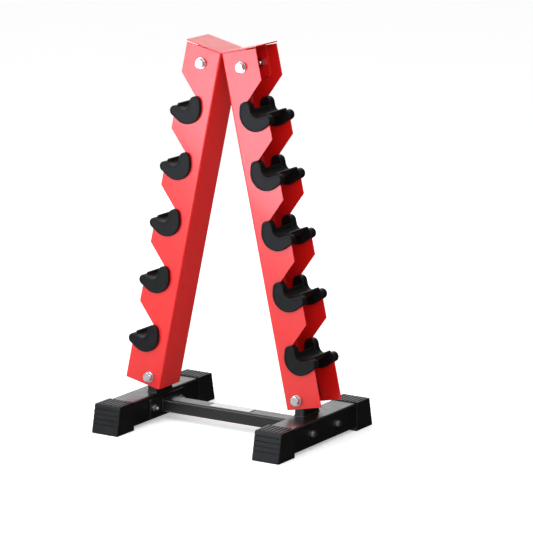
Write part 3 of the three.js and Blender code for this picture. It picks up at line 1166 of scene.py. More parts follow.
@dataclass(frozen=True)
class Cradle:
    """One moulded cradle: two collars clipped over the flanges, joined by a trough."""

    channel: Channel
    radius: float = 18 * MM
    shift: float = 5 * MM
    drop: float = 1.8 * MM
    overlap: float = 10 * MM
    collar_shift: float = 6 * MM
    collar_drop: float = 11.8 * MM
    outside: float = 9.4 * MM
    inside: float = 10.8 * MM
    lip_radius: float = 13 * MM
    lip_reach: float = 25 * MM
    lip_drop: float = 29.8 * MM
    horn_radius: float = 15 * MM
    horn_rise: float = 8.2 * MM
    trough_recess: float = 2 * MM
    trough_wall: float = 8 * MM
    trough_end: float = 325
    edge_round: float = 2.4 * MM
    border: float = 4.6 * MM
    recess: float = 1.2 * MM
    slot_start: float = 10.2 * MM
    collar_steps: int = 30
    lip_steps: int = 20
    horn_steps: int = 18
    trough_steps: int = 24
    tip_steps: int = 8

    def outline(self, notch: Notch) -> list[Point]:
        """A collar's side: round the notch, out to the lip and up to the horn.

        Args:
            notch: The notch that the collar sits in.

        Returns:
            The loop's points.
        """
        x, z = notch.middle
        big = (x - self.collar_shift, z - self.collar_drop)
        big_radius = notch.radius + self.overlap
        lip = (x + self.lip_reach, z - self.lip_drop)
        seat = (x + self.shift, z - self.drop)
        horn = (seat[0] - self.radius - self.horn_radius, z + self.horn_rise)
        under = self.tangent(big, big_radius, lip, self.lip_radius, -1)
        behind = self.tangent(big, big_radius, horn, self.horn_radius, 1)
        to_lip = Vector(lip) - Vector(seat)
        spread = math.asin((self.radius + self.lip_radius) / to_lip.length)
        slope = math.degrees(math.atan2(to_lip.y, to_lip.x) + spread)
        return [
            *arc(big, big_radius, behind, under + FULL_TURN, self.collar_steps),
            *arc(lip, self.lip_radius, under, 90 + slope, self.lip_steps),
            *arc(seat, self.radius, 270 + slope, 180, self.lip_steps),
            *arc(horn, self.horn_radius, 0, behind, self.horn_steps),
        ]

    @staticmethod
    def tangent(big: Point, big_radius: float, small: Point, small_radius: float, turn: int) -> float:
        """Where a straight line leaves two circles that it runs along.

        Args:
            big: The larger circle's middle.
            big_radius: Its radius.
            small: The smaller circle's middle.
            small_radius: Its radius.
            turn: +1 for the line on the left of the way to the smaller circle, -1 for the other.

        Returns:
            The angle at which the line touches both circles, in degrees.
        """
        way = Vector(small) - Vector(big)
        spread = math.acos((big_radius - small_radius) / way.length)
        return math.degrees(math.atan2(way.y, way.x) + turn * spread)

    def trough(self, notch: Notch) -> list[Point]:
        """The trough's section, with both of its ends rounded.

        Args:
            notch: The notch that the cradle sits in.

        Returns:
            The loop's points.
        """
        x, z = notch.middle
        seat = (x + self.shift, z - self.drop)
        inner = self.radius + self.trough_recess
        outer = inner + self.trough_wall
        half = self.trough_wall / 2
        end = math.radians(self.trough_end)
        tip = (seat[0] + (inner + half) * math.cos(end), seat[1] + (inner + half) * math.sin(end))
        root = (seat[0] - inner - half, seat[1])
        return [
            *arc(seat, outer, 180, self.trough_end, self.trough_steps),
            *arc(tip, half, self.trough_end, self.trough_end + 180, self.tip_steps)[1:-1],
            *arc(seat, inner, self.trough_end, 180, self.trough_steps),
            *arc(root, half, 0, 180, self.tip_steps)[1:-1],
        ]

    def rim(self) -> list[Point]:
        """A collar's rim: a sunk panel, a flat border and a rounded edge.

        Returns:
            The rim's points, from the face to the wall.
        """
        slope = ((1.0, 1.0), (0.5, 0.85), (0.35, 0.15), (0.0, 0.0))
        sunk = [(self.border + self.recess * out, self.recess * down) for out, down in slope]
        return sunk + round_rim(self.edge_round, 5)

    def slot(self, notch: Notch) -> list[Point]:
        """The flange round the notch, which the collar's slot is cut for.

        Args:
            notch: The notch that the collar sits in.

        Returns:
            The loop's points.
        """
        low, edge = self.slot_start, self.channel.depth + GAP
        z, reach = notch.middle[1], 2 * notch.radius
        bottom, top = z - reach, z + reach
        return [(low, bottom), (edge, bottom), *notch.path(edge, GAP), (edge, top), (low, top)]

    def mould(self) -> bpy.types.Object:
        """One whole cradle in the first notch, in the leaning frame.

        Returns:
            The cradle.
        """
        notch = self.channel.notches()[0]
        half = self.channel.width / 2
        front = half + self.outside
        back = self.channel.inside - self.inside
        deep = back + self.border
        body = prism(self.trough(notch), -deep, deep).thing("trough", ALONG_Y)
        for side in (1, -1):
            near, far = sorted((side * back, side * front))
            collar = prism(self.outline(notch), near, far, rim=self.rim()).thing("collar", ALONG_Y)
            joined(body, collar, Join.ADD)
        for side in (1, -1):
            near, far = sorted((side * (self.channel.inside - GAP), side * (half + GAP)))
            cutter = prism(self.slot(notch), near, far).thing("slot", ALONG_Y)
            joined(body, cutter, Join.CUT)
        return body


@dataclass(frozen=True)
class Uprights(SubAssembly):
    """Both channels, with their cradles."""

    channel: Channel

    def build(self) -> list[Piece]:
        """Makes one channel and one cradle, and sets copies of them on both sides.

        Returns:
            The pieces.
        """
        pieces = []
        channel = polished(self.channel.pattern().thing("channel_pattern"))
        cradle = polished(Cradle(self.channel).mould())
        notches = self.channel.notches()
        for side in Side:
            place = self.channel.stance.place(side)
            name = f"{side.value}_upright"
            pieces.append(Piece(copied(channel, f"{name}_channel", place), RED, (name,)))
            for i, notch in enumerate(notches):
                down = Matrix.Translation((0, 0, notch.corner - notches[0].corner))
                moulding = copied(cradle, f"{side.value}_cradle_{i + 1}", place @ down)
                pieces.append(Piece(moulding, PLASTIC, (f"{side.value}_saddle_{i + 1}",)))
        discarded(channel)
        discarded(cradle)
        return pieces


@dataclass(frozen=True)
class TopPlate(SubAssembly):
    """The plate folded to a shallow V over both channels, with its four ears."""

    channel: Channel
    thickness: float = 3 * MM
    reach: float = 104 * MM
    lift: float = 1.5
    fold: float = 6 * MM
    rim: float = 0.6 * MM
    ear_thickness: float = EAR_THICKNESS
    ear_start: float = 6 * MM
    ear_end: float = 72 * MM
    ear_drop: float = 78 * MM
    ear_corner: float = 12 * MM
    ear_heel: float = 2 * MM

    def section(self) -> list[Point]:
        """The plate's shallow V, in X and Z.

        Returns:
            The loop's points.
        """
        stance = self.channel.stance
        slope = stance.angle + math.radians(self.lift)
        valley = stance.foot.z + stance.length * math.cos(stance.angle) + GAP / math.cos(slope)
        middle = (0.0, valley + self.fold / math.cos(slope))
        turn = math.degrees(slope)
        x = self.reach * math.cos(slope)
        z = valley + self.reach * math.sin(slope)
        back_x = x - self.thickness * math.sin(slope)
        back_z = z + self.thickness * math.cos(slope)
        inner = self.fold - self.thickness
        return [
            (-x, z),
            *arc(middle, self.fold, 270 - turn, 270 + turn, 8),
            (x, z),
            (back_x, back_z),
            *arc(middle, inner, 270 + turn, 270 - turn, 8),
            (-back_x, back_z),
        ]

    def ear(self) -> list[Point]:
        """An ear's side, in the leaning frame.

        Returns:
            The loop's points.
        """
        length = self.channel.stance.length
        rise = math.tan(math.radians(self.lift))
        into = GAP + self.thickness / 2
        low = length - self.ear_drop
        return softened(
            [
                (self.ear_start, low, self.ear_heel),
                (self.ear_end, low, self.ear_corner),
                (self.ear_end, length + into + self.ear_end * rise, 0),
                (self.ear_start, length + into + self.ear_start * rise, 0),
            ]
        )

    def build(self) -> list[Piece]:
        """Makes the plate and joins its ears to it.

        Returns:
            The plate, as the only piece.
        """
        half = self.channel.width / 2
        plate = prism(self.section(), -half, half, rim=round_rim(self.rim, 3))
        body = plate.thing("top_plate", ALONG_Y)
        inside = self.channel.inside - GAP
        for side in Side:
            place = self.channel.stance.place(side) @ ALONG_Y
            for near in (inside - self.ear_thickness, -inside):
                far = near + self.ear_thickness
                bore = hole(self.channel.top_hole, self.channel.hole)
                ear = prism(self.ear(), near, far, [bore], round_rim(self.rim, 3))
                joined(body, ear.thing("ear", place), Join.ADD)
        return [Piece(polished(body), RED, ("top_bracket",))]


def evenly(loop: Sequence[Point], spacing: float) -> list[Point]:
    """Points at even distances along a closed loop.

    Args:
        loop: The loop's points.
        spacing: About how far apart the new points are.

    Returns:
        The new points.
    """
    ends = [*loop[1:], loop[0]]
    lengths = [math.dist(a, b) for a, b in zip(loop, ends)]
    count = round(sum(lengths) / spacing)
    step = sum(lengths) / count
    points = []
    walked, i = 0.0, 0
    for k in range(count):
        while walked + lengths[i] < k * step:
            walked += lengths[i]
            i += 1
        share = (k * step - walked) / lengths[i]
        points.append(tuple(a + (b - a) * share for a, b in zip(loop[i], ends[i])))
    return points


def bead(loop: Sequence[Point], radius: float, name: str, place: Matrix) -> bpy.types.Object:
    """A weld's bead along a flat loop, with the ripples that its puddles leave.

    Args:
        loop: The seam, in X and Y.
        radius: The bead's radius.
        name: The object's name.
        place: Where the seam's own axes lie in the rack's.

    Returns:
        The object.
    """
    sides, ripple, puddle, spacing = 12, 0.08, 5, 1.1 * MM
    route = evenly(loop, spacing)
    solid = Solid()
    rings = []
    for i, (x, y) in enumerate(route):
        ahead = Vector(route[(i + 1) % len(route)]) - Vector(route[i - 1])
        out = Vector((ahead.y, -ahead.x)).normalized()
        swell = radius * (1 + ripple * math.cos(math.tau * (i % puddle) / puddle))
        turns = [math.tau * k / sides for k in range(sides)]
        reach = [(swell * math.cos(a), swell * math.sin(a)) for a in turns]
        rings.append(solid.ring((x + out.x * r, y + out.y * r, up) for r, up in reach))
    for i, ring in enumerate(rings):
        solid.bridge(rings[i - 1], ring)
    return polished(solid.thing(name, place), WELD_CREASE)


def tube(width: float, height: float, corner: float, wall: float, length: float) -> Solid:
    """A rounded box tube along Z, round the origin.

    Args:
        width: Its size along X.
        height: Its size along Y.
        corner: Its outer corners' radius.
        wall: Its wall's thickness.
        length: Its length.

    Returns:
        The solid.
    """
    inner = rounded_box(width - 2 * wall, height - 2 * wall, corner - wall)
    outer = rounded_box(width, height, corner)
    return prism(outer, -length / 2, length / 2, [inner[::-1]], round_rim(SAWN_RIM, 3))


def drilled(
    thing: bpy.types.Object, places: Iterable[Matrix], radius: float, length: float
) -> bpy.types.Object:
    """Drills round holes through an object.

    Args:
        thing: The object.
        places: Where each drill's axes lie; it runs along Z.
        radius: The holes' radius.
        length: How long the drill is.

    Returns:
        The drilled object.
    """
    for place in places:
        drill = prism(hole((0, 0), radius)[::-1], -length / 2, length / 2)
        joined(thing, drill.thing("drill", place), Join.CUT)
    return thing


@dataclass(frozen=True)
class Feet(SubAssembly):
    """Both foot tubes and the posts welded on them."""

    channel: Channel
    foot_corner: float = 6 * MM
    foot_wall: float = 2.5 * MM
    foot_hole: float = FOOT_HOLE
    foot_hole_offset: float = FOOT_HOLE_OFFSET
    post_corner: float = 3.5 * MM
    post_wall: float = 2.5 * MM
    bead_radius: float = 2.2 * MM

    def foot(self) -> bpy.types.Object:
        """Makes the right-hand foot tube.

        Returns:
            The tube, at its place.
        """
        box = Extent.of("right_foot_tube")
        body = tube(box.size.x, box.size.z, self.foot_corner, self.foot_wall, box.size.y)
        thing = body.thing("foot_pattern", Matrix.Translation(box.middle) @ ALONG_Y)
        seats = [Vector((0, y, 0)) for y in (-self.foot_hole_offset, self.foot_hole_offset)]
        drills = [Matrix.Translation(box.middle + seat) @ ALONG_X for seat in seats]
        return polished(drilled(thing, drills, self.foot_hole, 2 * box.size.x))

    def post(self) -> bpy.types.Object:
        """Makes the right-hand post.

        Returns:
            The post, at its place.
        """
        box = Extent.of("right_post")
        body = tube(box.size.x, box.size.y, self.post_corner, self.post_wall, box.size.z)
        thing = body.thing("post_pattern", Matrix.Translation(box.middle))
        drill = Matrix.Translation(Extent.of("right_post_bolt").middle) @ ALONG_Y
        return polished(drilled(thing, [drill], self.channel.hole, 2 * box.size.y))

    def weld(self) -> bpy.types.Object:
        """Makes the bead round the foot of the right-hand post.

        Returns:
            The bead, at its place.
        """
        box = Extent.of("right_post")
        seam = rounded_box(box.size.x + GAP, box.size.y + GAP, self.post_corner)
        base = Matrix.Translation((box.middle.x, 0, Extent.of("right_foot_tube").high.z + GAP))
        return bead(seam, self.bead_radius, "weld_pattern", base)

    def build(self) -> list[Piece]:
        """Makes the right-hand pieces and sets copies of them on both sides.

        Returns:
            The pieces.
        """
        return [
            *both_sides(self.foot(), "foot_box_tube", BLACK, "foot_tube"),
            *both_sides(self.post(), "post_box_tube", BLACK, "post"),
            *both_sides(self.weld(), "post_weld", BLACK),
        ]


@dataclass(frozen=True)
class EndCaps(SubAssembly):
    """The four rubber caps pulled over the ends of the foot tubes."""

    corner: float = 6.3 * MM
    toe_lean: float = 15.1 * MM
    toe_top: float = 5 * MM
    toe_floor: float = 3 * MM
    rim: float = 2 * MM
    grooves: int = 4
    groove_depth: float = 1.4 * MM
    groove_width: float = 2.6 * MM
    ribs: int = 6
    rib_pitch: float = 11.5 * MM
    rib_width: float = 6 * MM
    rib_rise: float = 1.3 * MM
    rib_from_toe: float = 6 * MM
    rib_from_mouth: float = 3 * MM
    rib_round: float = 0.7 * MM
    rib_corner: float = 2.7 * MM
    rim_steps: int = 5

    def outline(self, box: Extent) -> list[Point]:
        """The cap's side, in Y and Z, with the grooves across its sloping toe.

        Args:
            box: The back cap's box.

        Returns:
            The loop's points.
        """
        roof = box.high.z - self.rib_rise
        top = Vector((box.high.y - self.toe_lean, roof))
        floor = Vector((box.high.y, 0))
        way = (top - floor).normalized()
        inward = Vector((-way.y, way.x))
        corners = [(box.low.y, 0, 0), (floor.x, floor.y, self.toe_floor)]
        for i in range(self.grooves):
            along = (top - floor).length * (i + 2) / (self.grooves + 2)
            middle = floor + way * along
            for step, depth, radius in ((-0.5, 0, 0), (0, 1, 0.5 * MM), (0.5, 0, 0)):
                spot = middle + way * self.groove_width * step + inward * self.groove_depth * depth
                corners.append((spot.x, spot.y, radius))
        corners += [(top.x, top.y, self.toe_top), (box.low.y, roof, 0)]
        return softened(corners, 6)

    def cap(self) -> bpy.types.Object:
        """Makes the right-hand back cap.

        Returns:
            The cap, at its place.
        """
        box = Extent.of("right_back_end_cap")
        foot = Extent.of("right_foot_tube")
        half = box.size.x / 2
        rim = round_rim(self.rim, self.rim_steps)
        across = Matrix.Translation((box.middle.x, 0, 0)) @ ALONG_X
        thing = prism(self.outline(box), -half, half, rim=rim).thing("cap_pattern", across)
        room = rounded_box(foot.size.x + 2 * GAP, foot.size.z + 2 * GAP, self.corner)
        depth = foot.high.y + GAP - box.low.y + self.rim
        pocket = prism(room, -depth / 2, depth / 2)
        inside = Vector((foot.middle.x, foot.high.y + GAP - depth / 2, foot.middle.z))
        joined(thing, pocket.thing("pocket", Matrix.Translation(inside) @ ALONG_Y), Join.CUT)
        near = box.low.y + self.rib_from_mouth
        far = box.high.y - self.toe_lean - self.rib_from_toe
        rib = rounded_box(self.rib_width, far - near, self.rib_corner)
        for i in range(self.ribs):
            x = box.middle.x + (i - (self.ribs - 1) / 2) * self.rib_pitch
            spot = Matrix.Translation((x, (near + far) / 2, box.high.z))
            bar = prism(rib, -2 * self.rib_rise, 0, rim=round_rim(self.rib_round, 4))
            joined(thing, bar.thing("rib", spot), Join.ADD)
        return polished(thing)

    def build(self) -> list[Piece]:
        """Makes one cap and turns copies of it to all four ends.

        Returns:
            The pieces.
        """
        cap = self.cap()
        x = Extent.of("right_back_end_cap").middle.x
        pieces = []
        for side in Side:
            for end in End:
                turn = Matrix.Rotation(0 if end is End.BACK else math.pi, 4, "Z")
                place = Matrix.Translation((side.sign * x, 0, 0)) @ turn
                place = place @ Matrix.Translation((-x, 0, 0))
                node = f"{side.value}_{end.value}_end_cap"
                pieces.append(Piece(copied(cap, f"{node}_moulding", place), CAP_RUBBER, (node,)))
        discarded(cap)
        return pieces


@dataclass(frozen=True)
class Crossbar(SubAssembly):
    """The bar between the feet, with its end plates, its welds and the badge plate on it."""

    corner: float = 5.5 * MM
    wall: float = 2 * MM
    plate_corner: float = 6 * MM
    plate_rim: float = 0.8 * MM
    hole: float = FOOT_HOLE
    hole_offset: float = FOOT_HOLE_OFFSET
    badge_corner: float = 3 * MM
    badge_rim: float = 0.3 * MM
    bead_radius: float = 2 * MM

    def end_plate(self) -> bpy.types.Object:
        """Makes the right-hand end plate.

        Returns:
            The plate, at its place.
        """
        box = Extent.of("right_end_plate")
        outline = rounded_box(box.size.y, box.size.z, self.plate_corner)
        holes = [hole((y, 0), self.hole) for y in (-self.hole_offset, self.hole_offset)]
        half = box.size.x / 2
        body = prism(outline, -half, half, holes, round_rim(self.plate_rim))
        return polished(body.thing("plate_pattern", Matrix.Translation(box.middle) @ ALONG_X))

    def bar(self) -> bpy.types.Object:
        """Makes the bar itself.

        Returns:
            The bar.
        """
        box = Extent.of("crossbar")
        body = tube(box.size.y, box.size.z, self.corner, self.wall, box.size.x)
        return polished(body.thing("crossbar_box_tube", Matrix.Translation(box.middle) @ ALONG_X))

    def weld(self) -> bpy.types.Object:
        """Makes the bead between the bar and its right-hand end plate.

        Returns:
            The bead, at its place.
        """
        box = Extent.of("crossbar")
        seam = rounded_box(box.size.y + GAP, box.size.z + GAP, self.corner)
        face = Matrix.Translation((box.high.x, 0, box.middle.z)) @ ALONG_X
        return bead(seam, self.bead_radius, "seam_pattern", face)

    def badge(self) -> bpy.types.Object:
        """Makes the blank badge plate on top of the bar.

        Returns:
            The plate.
        """
        box = Extent.of("badge_plate")
        outline = rounded_box(box.size.x, box.size.y, self.badge_corner)
        thin = prism(outline, box.low.z, box.high.z, rim=round_rim(self.badge_rim, 3))
        return polished(thin.thing("badge_blank"))

    def build(self) -> list[Piece]:
        """Makes the bar, its end plates and their welds, and the badge plate.

        Returns:
            The pieces.
        """
        return [
            Piece(self.bar(), BLACK, ("crossbar",)),
            *both_sides(self.end_plate(), "end_plate_steel", BLACK, "end_plate"),
            *both_sides(self.weld(), "crossbar_weld", BLACK),
            Piece(self.badge(), BADGE, ("badge_plate",)),
        ]


@dataclass(frozen=True)
class Bolt:
    """The sizes of a hex bolt with its nut, which stand along Z with their seats at 0."""

    radius: float
    bore: float
    flats: float
    head: float
    nut: float
    flange: float = 0.0
    slope: float = math.tan(math.radians(30))
    crown: float = 0.94
    chamfer: float = 0.2 * MM
    seat: float = 0.4 * MM
    flange_top: float = 2.8 * MM
    lead: float = 0.7 * MM
    fillet: float = 0.4 * MM
    lathe: Lathe = Lathe()
    thread: Thread = Thread()

    def hex_rings(self, height: float) -> list[list[Vector]]:
        """A hexagon's rings, from its chamfered end at a height down to its seat.

        Args:
            height: The chamfered end's height over the seat.

        Returns:
            The rings, with the flange's after them if there is one.
        """
        turned = self.lathe.circle
        inner = self.flats / 2 * self.crown
        hexagon = self.lathe.hexagon(self.flats, height - self.chamfer, self.slope)
        rings = [turned(inner, height), hexagon]
        if self.flange:
            rings.append(self.lathe.hexagon(self.flats, self.flange_top))
            profile = ((0.5, 1.9), (0.1, 1.6), (0.0, 1.2), (0.0, 0.4), (0.4, 0.0))
            rings += [turned(self.flange - inset * MM, up * MM) for inset, up in profile]
            return rings
        rings.append(self.lathe.hexagon(self.flats, self.seat))
        rings += [turned(inner, self.seat), turned(inner - self.chamfer, 0.0)]
        return rings

    def with_shank(self, length: float, threaded: float) -> Solid:
        """Makes the bolt, with its tip towards -Z.

        Args:
            length: The shank's length.
            threaded: How much of it is threaded.

        Returns:
            The solid.
        """
        rings = self.hex_rings(self.head)
        rings.append(self.lathe.circle(self.radius + self.fillet, 0.0))
        rings.append(self.lathe.circle(self.radius, -self.fillet))
        rings.extend(
            [Vector((x, y, -z)) for x, y, z in ring]
            for ring in self.thread.rings(self.lathe, self.radius, length - threaded, length)
        )
        return self.lathe.turned(rings, True)

    def nut_body(self) -> Solid:
        """Makes the nut.

        Returns:
            The solid.
        """
        rings = self.hex_rings(self.nut)
        mouth = self.bore + self.lead
        rings += [
            self.lathe.circle(mouth, 0.0),
            self.lathe.circle(self.bore, self.lead),
            self.lathe.circle(self.bore, self.nut - self.lead),
            self.lathe.circle(mouth, self.nut),
        ]
        return self.lathe.turned(rings, False)


def ring_body(radius: float, bore: float, length: float) -> Solid:
    """A washer or a spacer: a short round tube on Z with softened rims.

    Args:
        radius: Its outer radius.
        bore: Its hole's radius.
        length: Its length.

    Returns:
        The solid.
    """
    sides = 56
    outer = hole((0, 0), radius, sides)[::-1]
    return prism(outer, 0.0, length, [hole((0, 0), bore, sides)], round_rim(SAWN_RIM, 3))


@dataclass(frozen=True)
class Hardware(SubAssembly):
    """Every bolt, nut, washer and spacer."""

    channel: Channel
    heavy: Bolt = Bolt(7 * MM, 7.15 * MM, 22 * MM, 8.8 * MM, 11 * MM)
    light: Bolt = Bolt(
        4 * MM, 4.15 * MM, 13 * MM, 7.5 * MM, 8 * MM, 9.5 * MM, thread=Thread(1.25 * MM, 0.7 * MM)
    )
    washer_radius: float = 14 * MM
    washer_thickness: float = 2.5 * MM
    spacer_radius: float = 12 * MM
    ear_thickness: float = EAR_THICKNESS
    past_nut: float = 4 * MM
    top_thread: float = 14 * MM
    post_thread: float = 24 * MM
    foot_thread: float = 16 * MM

    @property
    def seat(self) -> float:
        """How far a heavy bolt's head bears from the middle of the channel."""
        return self.channel.width / 2 + 2 * GAP + self.washer_thickness

    def facing(self, y: float, sign: int) -> Matrix:
        """The placing that turns a fastener's +Z outwards along Y.

        Args:
            y: How far its seat is from the middle.
            sign: -1 to face the front and +1 to face the back.

        Returns:
            The placing, with a corner of the hexagon upwards.
        """
        outwards = Matrix(((0, sign, 0, 0), (0, 0, sign, 0), (1, 0, 0, 0), (0, 0, 0, 1)))
        return Matrix.Translation((0, sign * y, 0)) @ outwards

    def at_top(self) -> list[Piece]:
        """Makes the four bolts through the channels and the top plate's ears.

        Returns:
            The bolts, with their washers and nuts.
        """
        x, z = self.channel.top_hole
        ear = self.channel.inside - 2 * GAP - self.ear_thickness
        length = self.seat - ear + self.heavy.nut + self.past_nut
        bolt = polished(self.heavy.with_shank(length, self.top_thread).thing("top_bolt_pattern"))
        pieces = []
        for side in Side:
            base = self.channel.stance.place(side) @ Matrix.Translation((x, 0, z))
            for end in End:
                sign = side.sign * end.sign
                label = f"{side.value}_top_{end.value}"
                thing = copied(bolt, f"{label}_hex_bolt", base @ self.facing(self.seat, sign))
                pieces.append(Piece(thing, ZINC, (f"{label}_bolt",)))
                pieces.append(self.washer(label, base @ self.facing(self.seat - GAP, sign)))
                pieces.append(self.nut(label, base @ self.facing(-ear, -sign)))
        discarded(bolt)
        return pieces

    def washer(self, label: str, seat: Matrix) -> Piece:
        """Makes a washer.

        Args:
            label: What its name starts with.
            seat: Where its outer face lies.

        Returns:
            The piece.
        """
        body = ring_body(self.washer_radius, self.channel.hole, self.washer_thickness)
        place = seat @ Matrix.Translation((0, 0, -self.washer_thickness))
        thing = polished(body.thing(f"{label}_flat_washer", place))
        return Piece(thing, ZINC, (f"{label}_washer",))

    def nut(self, label: str, seat: Matrix) -> Piece:
        """Makes a heavy nut.

        Args:
            label: What its name starts with.
            seat: Where it bears.

        Returns:
            The piece.
        """
        thing = polished(self.heavy.nut_body().thing(f"{label}_hex_nut", seat))
        return Piece(thing, ZINC, (f"{label}_nut",))

    def at_posts(self) -> list[Piece]:
        """Makes the two long bolts through the channels and the posts.

        Returns:
            The bolts, with their washers, nuts and spacers.
        """
        post = Extent.of("right_post")
        level = Extent.of("right_post_bolt").middle
        length = 2 * self.seat + self.heavy.nut + self.past_nut
        bolt = self.heavy.with_shank(length, self.post_thread)
        inside = self.channel.inside - GAP
        reach = inside - post.size.y / 2 - GAP
        pieces = []
        for side in Side:
            base = Matrix.Translation((side.sign * level.x, 0, level.z))
            name = f"{side.value}_post"
            head = base @ self.facing(self.seat, -1)
            thing = polished(bolt.thing(f"{name}_long_bolt", head))
            pieces.append(Piece(thing, ZINC, (f"{name}_bolt",)))
            pieces.append(self.nut(name, base @ self.facing(self.seat, 1)))
            for end in End:
                label = f"{name}_{end.value}"
                pieces.append(self.washer(label, base @ self.facing(self.seat - GAP, end.sign)))
                body = ring_body(self.spacer_radius, self.channel.hole, reach)
                place = base @ self.facing(inside - reach, end.sign)
                spacer = polished(body.thing(f"{label}_spacer_tube", place))
                pieces.append(Piece(spacer, BLACK, (f"{label}_spacer",)))
        return pieces

    def at_feet(self) -> list[Piece]:
        """Makes the four flanged bolts and nuts through the feet and the end plates.

        Returns:
            The bolts and nuts.
        """
        whole = Extent.of("right_foot_back_bolt")
        nut_box = Extent.of("right_foot_back_nut")
        shank = whole.size.x - self.light.head
        bolt = polished(self.light.with_shank(shank, self.foot_thread).thing("foot_bolt_pattern"))
        nut = polished(self.light.nut_body().thing("foot_nut_pattern"))
        outwards = Matrix(((0, 0, 1, 0), (0, -1, 0, 0), (1, 0, 0, 0), (0, 0, 0, 1)))
        inwards = Matrix(((0, 0, -1, 0), (0, 1, 0, 0), (1, 0, 0, 0), (0, 0, 0, 1)))
        head, seat = whole.high.x - self.light.head, nut_box.high.x
        pieces = []
        for side in Side:
            for end in End:
                label = f"{side.value}_foot_{end.value}"
                y = side.sign * end.sign * whole.middle.y
                for kind, form, x, way in (("bolt", bolt, head, outwards), ("nut", nut, seat, inwards)):
                    place = side.turn @ Matrix.Translation((x, y, whole.middle.z)) @ way
                    thing = copied(form, f"{label}_flange_{kind}", place)
                    pieces.append(Piece(thing, ZINC, (f"{label}_{kind}",)))
        discarded(bolt)
        discarded(nut)
        return pieces

    def build(self) -> list[Piece]:
        """Makes all of the hardware."""
        return [*self.at_top(), *self.at_posts(), *self.at_feet()]


# ---- Studio ----


@dataclass(frozen=True)
class Softbox:
    """One soft panel of light."""

    name: str
    place: tuple[float, float, float]
    aim: tuple[float, float, float]
    width: float
    height: float
    brightness: float
    roll: float = 0.0
    colour: tuple[float, float, float] = (1.0, 1.0, 1.0)

    def hang(self) -> None:
        """Sets the panel up."""
        data = bpy.data.lights.new(self.name, "AREA")
        data.shape = "RECTANGLE"
        data.size = self.width
        data.size_y = self.height
        data.energy = self.brightness * math.pi * self.width * self.height
        data.color = self.colour
        lamp = bpy.data.objects.new(self.name, data)
        lamp.location = self.place
        way = Vector(self.aim) - Vector(self.place)
        spin = Quaternion((0, 0, 1), math.radians(self.roll))
        lamp.rotation_euler = (way.to_track_quat("-Z", "Y") @ spin).to_euler()
        lamp.visible_camera = False
        bpy.context.scene.collection.objects.link(lamp)


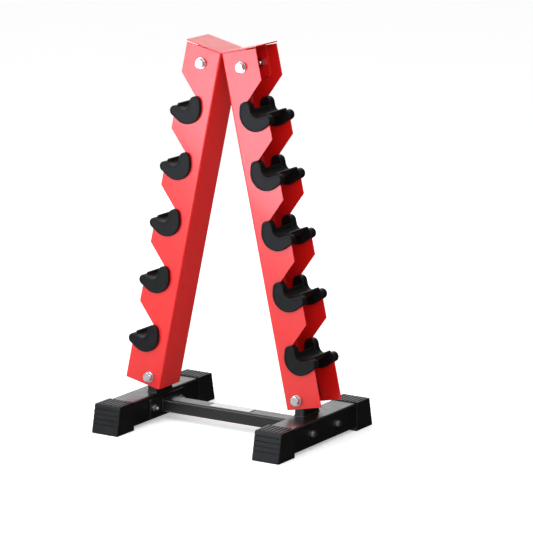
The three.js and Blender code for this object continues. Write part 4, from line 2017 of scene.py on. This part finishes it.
@dataclass(frozen=True)
class Studio:
    """A pale floor, soft panels and the camera."""

    eye: tuple[float, float, float] = (4.69145, -7.23810, 2.34450)
    target: tuple[float, float, float] = (0.10065, 0.0, 0.43014)
    lens: float = 239.9
    sensor: float = 36.0
    far_end: float = 400.0
    floor_size: float = 160.0
    floor_dark: tuple[float, float, float] = (0.86, 0.86, 0.86)
    floor_light: tuple[float, float, float] = (0.88, 0.88, 0.88)
    floor_mottle: Grain = Grain(0.4)
    floor_roughness: float = 0.9
    floor_glow: float = 0.42
    bright_way: tuple[float, float, float] = (-0.5, -0.75, 0.4)
    bright_span: tuple[float, float] = (-0.9, 0.35)
    bright_level: tuple[float, float] = (0.02, 0.75)
    panels: tuple[Softbox, ...] = (
        Softbox(
            "wash", (-0.59, -1.2, 0.59), (-0.59, 0, 0.59), 1.0, 0.5, 6.6, -32, (0.84, 0.92, 1.08)
        ),
        Softbox("overhead", (-0.6, -1.2, 3.0), (0, 0, 0.3), 3.0, 3.0, 1.8),
        Softbox("back_left", (-1.6, 2.6, 1.5), (-0.1, 0, 0.6), 2.6, 2.4, 1.2),
        Softbox("front_right", (2.0, -2.4, 2.6), (0, 0, 0.5), 1.8, 1.8, 3.4),
    )

    def floor(self) -> None:
        """Lays the floor."""
        half = self.floor_size / 2
        solid = Solid()
        corners = [(-half, -half, 0), (half, -half, 0), (half, half, 0), (-half, half, 0)]
        solid.faces.append(tuple(solid.ring(corners)))
        thing = solid.thing("studio_floor")
        bench = Bench("studio_floor_finish")
        mottle = bench.spread(bench.noise(self.floor_mottle), 0, 1)
        bench.wear("Base Color", bench.tint(mottle, self.floor_dark, self.floor_light))
        bench.wear("Roughness", self.floor_roughness)
        bench.wear("Emission Color", (1, 1, 1, 1))
        bench.wear("Emission Strength", self.floor_glow)
        thing.data.materials.append(bench.material)
        thing.visible_glossy = False

    def surroundings(self) -> None:
        """Fills the room with soft light, brighter at the front left than at the back right."""
        world = bpy.data.worlds.new("studio_room")
        world.use_nodes = True
        tree = world.node_tree
        background = tree.nodes["Background"]
        place = tree.nodes.new("ShaderNodeTexCoord")
        facing = tree.nodes.new("ShaderNodeVectorMath")
        facing.operation = "DOT_PRODUCT"
        facing.inputs[1].default_value = self.bright_way
        tree.links.new(place.outputs["Generated"], facing.inputs[0])
        level = tree.nodes.new("ShaderNodeMapRange")
        level.interpolation_type = "SMOOTHSTEP"
        numbers = (*self.bright_span, *self.bright_level)
        for name, number in zip(("From Min", "From Max", "To Min", "To Max"), numbers):
            level.inputs[name].default_value = number
        tree.links.new(facing.outputs["Value"], level.inputs["Value"])
        tree.links.new(level.outputs["Result"], background.inputs["Strength"])
        background.inputs["Color"].default_value = (1, 1, 1, 1)
        bpy.context.scene.world = world

    def camera(self) -> None:
        """Sets the camera up."""
        data = bpy.data.cameras.new("studio_camera")
        data.sensor_width = self.sensor
        data.lens = self.lens
        data.clip_end = self.far_end
        lens = bpy.data.objects.new("studio_camera", data)
        lens.location = self.eye
        way = Vector(self.target) - Vector(self.eye)
        lens.rotation_euler = way.to_track_quat("-Z", "Y").to_euler()
        bpy.context.scene.collection.objects.link(lens)
        bpy.context.scene.camera = lens

    def set_up(self) -> None:
        """Lays the floor, hangs the lights and places the camera."""
        self.floor()
        self.surroundings()
        for panel in self.panels:
            panel.hang()
        self.camera()
        bpy.context.scene.view_settings.view_transform = "Standard"


def main() -> None:
    """Builds every sub-assembly, then the studio round them."""
    LOG.info("packed: %d nodes", len(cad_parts))
    channel = Channel(Stance(CHANNEL_DEPTH))
    parts: tuple[SubAssembly, ...] = (
        Uprights(channel),
        TopPlate(channel),
        Feet(channel),
        EndCaps(),
        Crossbar(),
        Hardware(channel),
    )
    for part in parts:
        part.install()
    Studio().set_up()


if __name__ == "__main__":
    logging.basicConfig(level=logging.INFO, format="%(message)s")
    main()
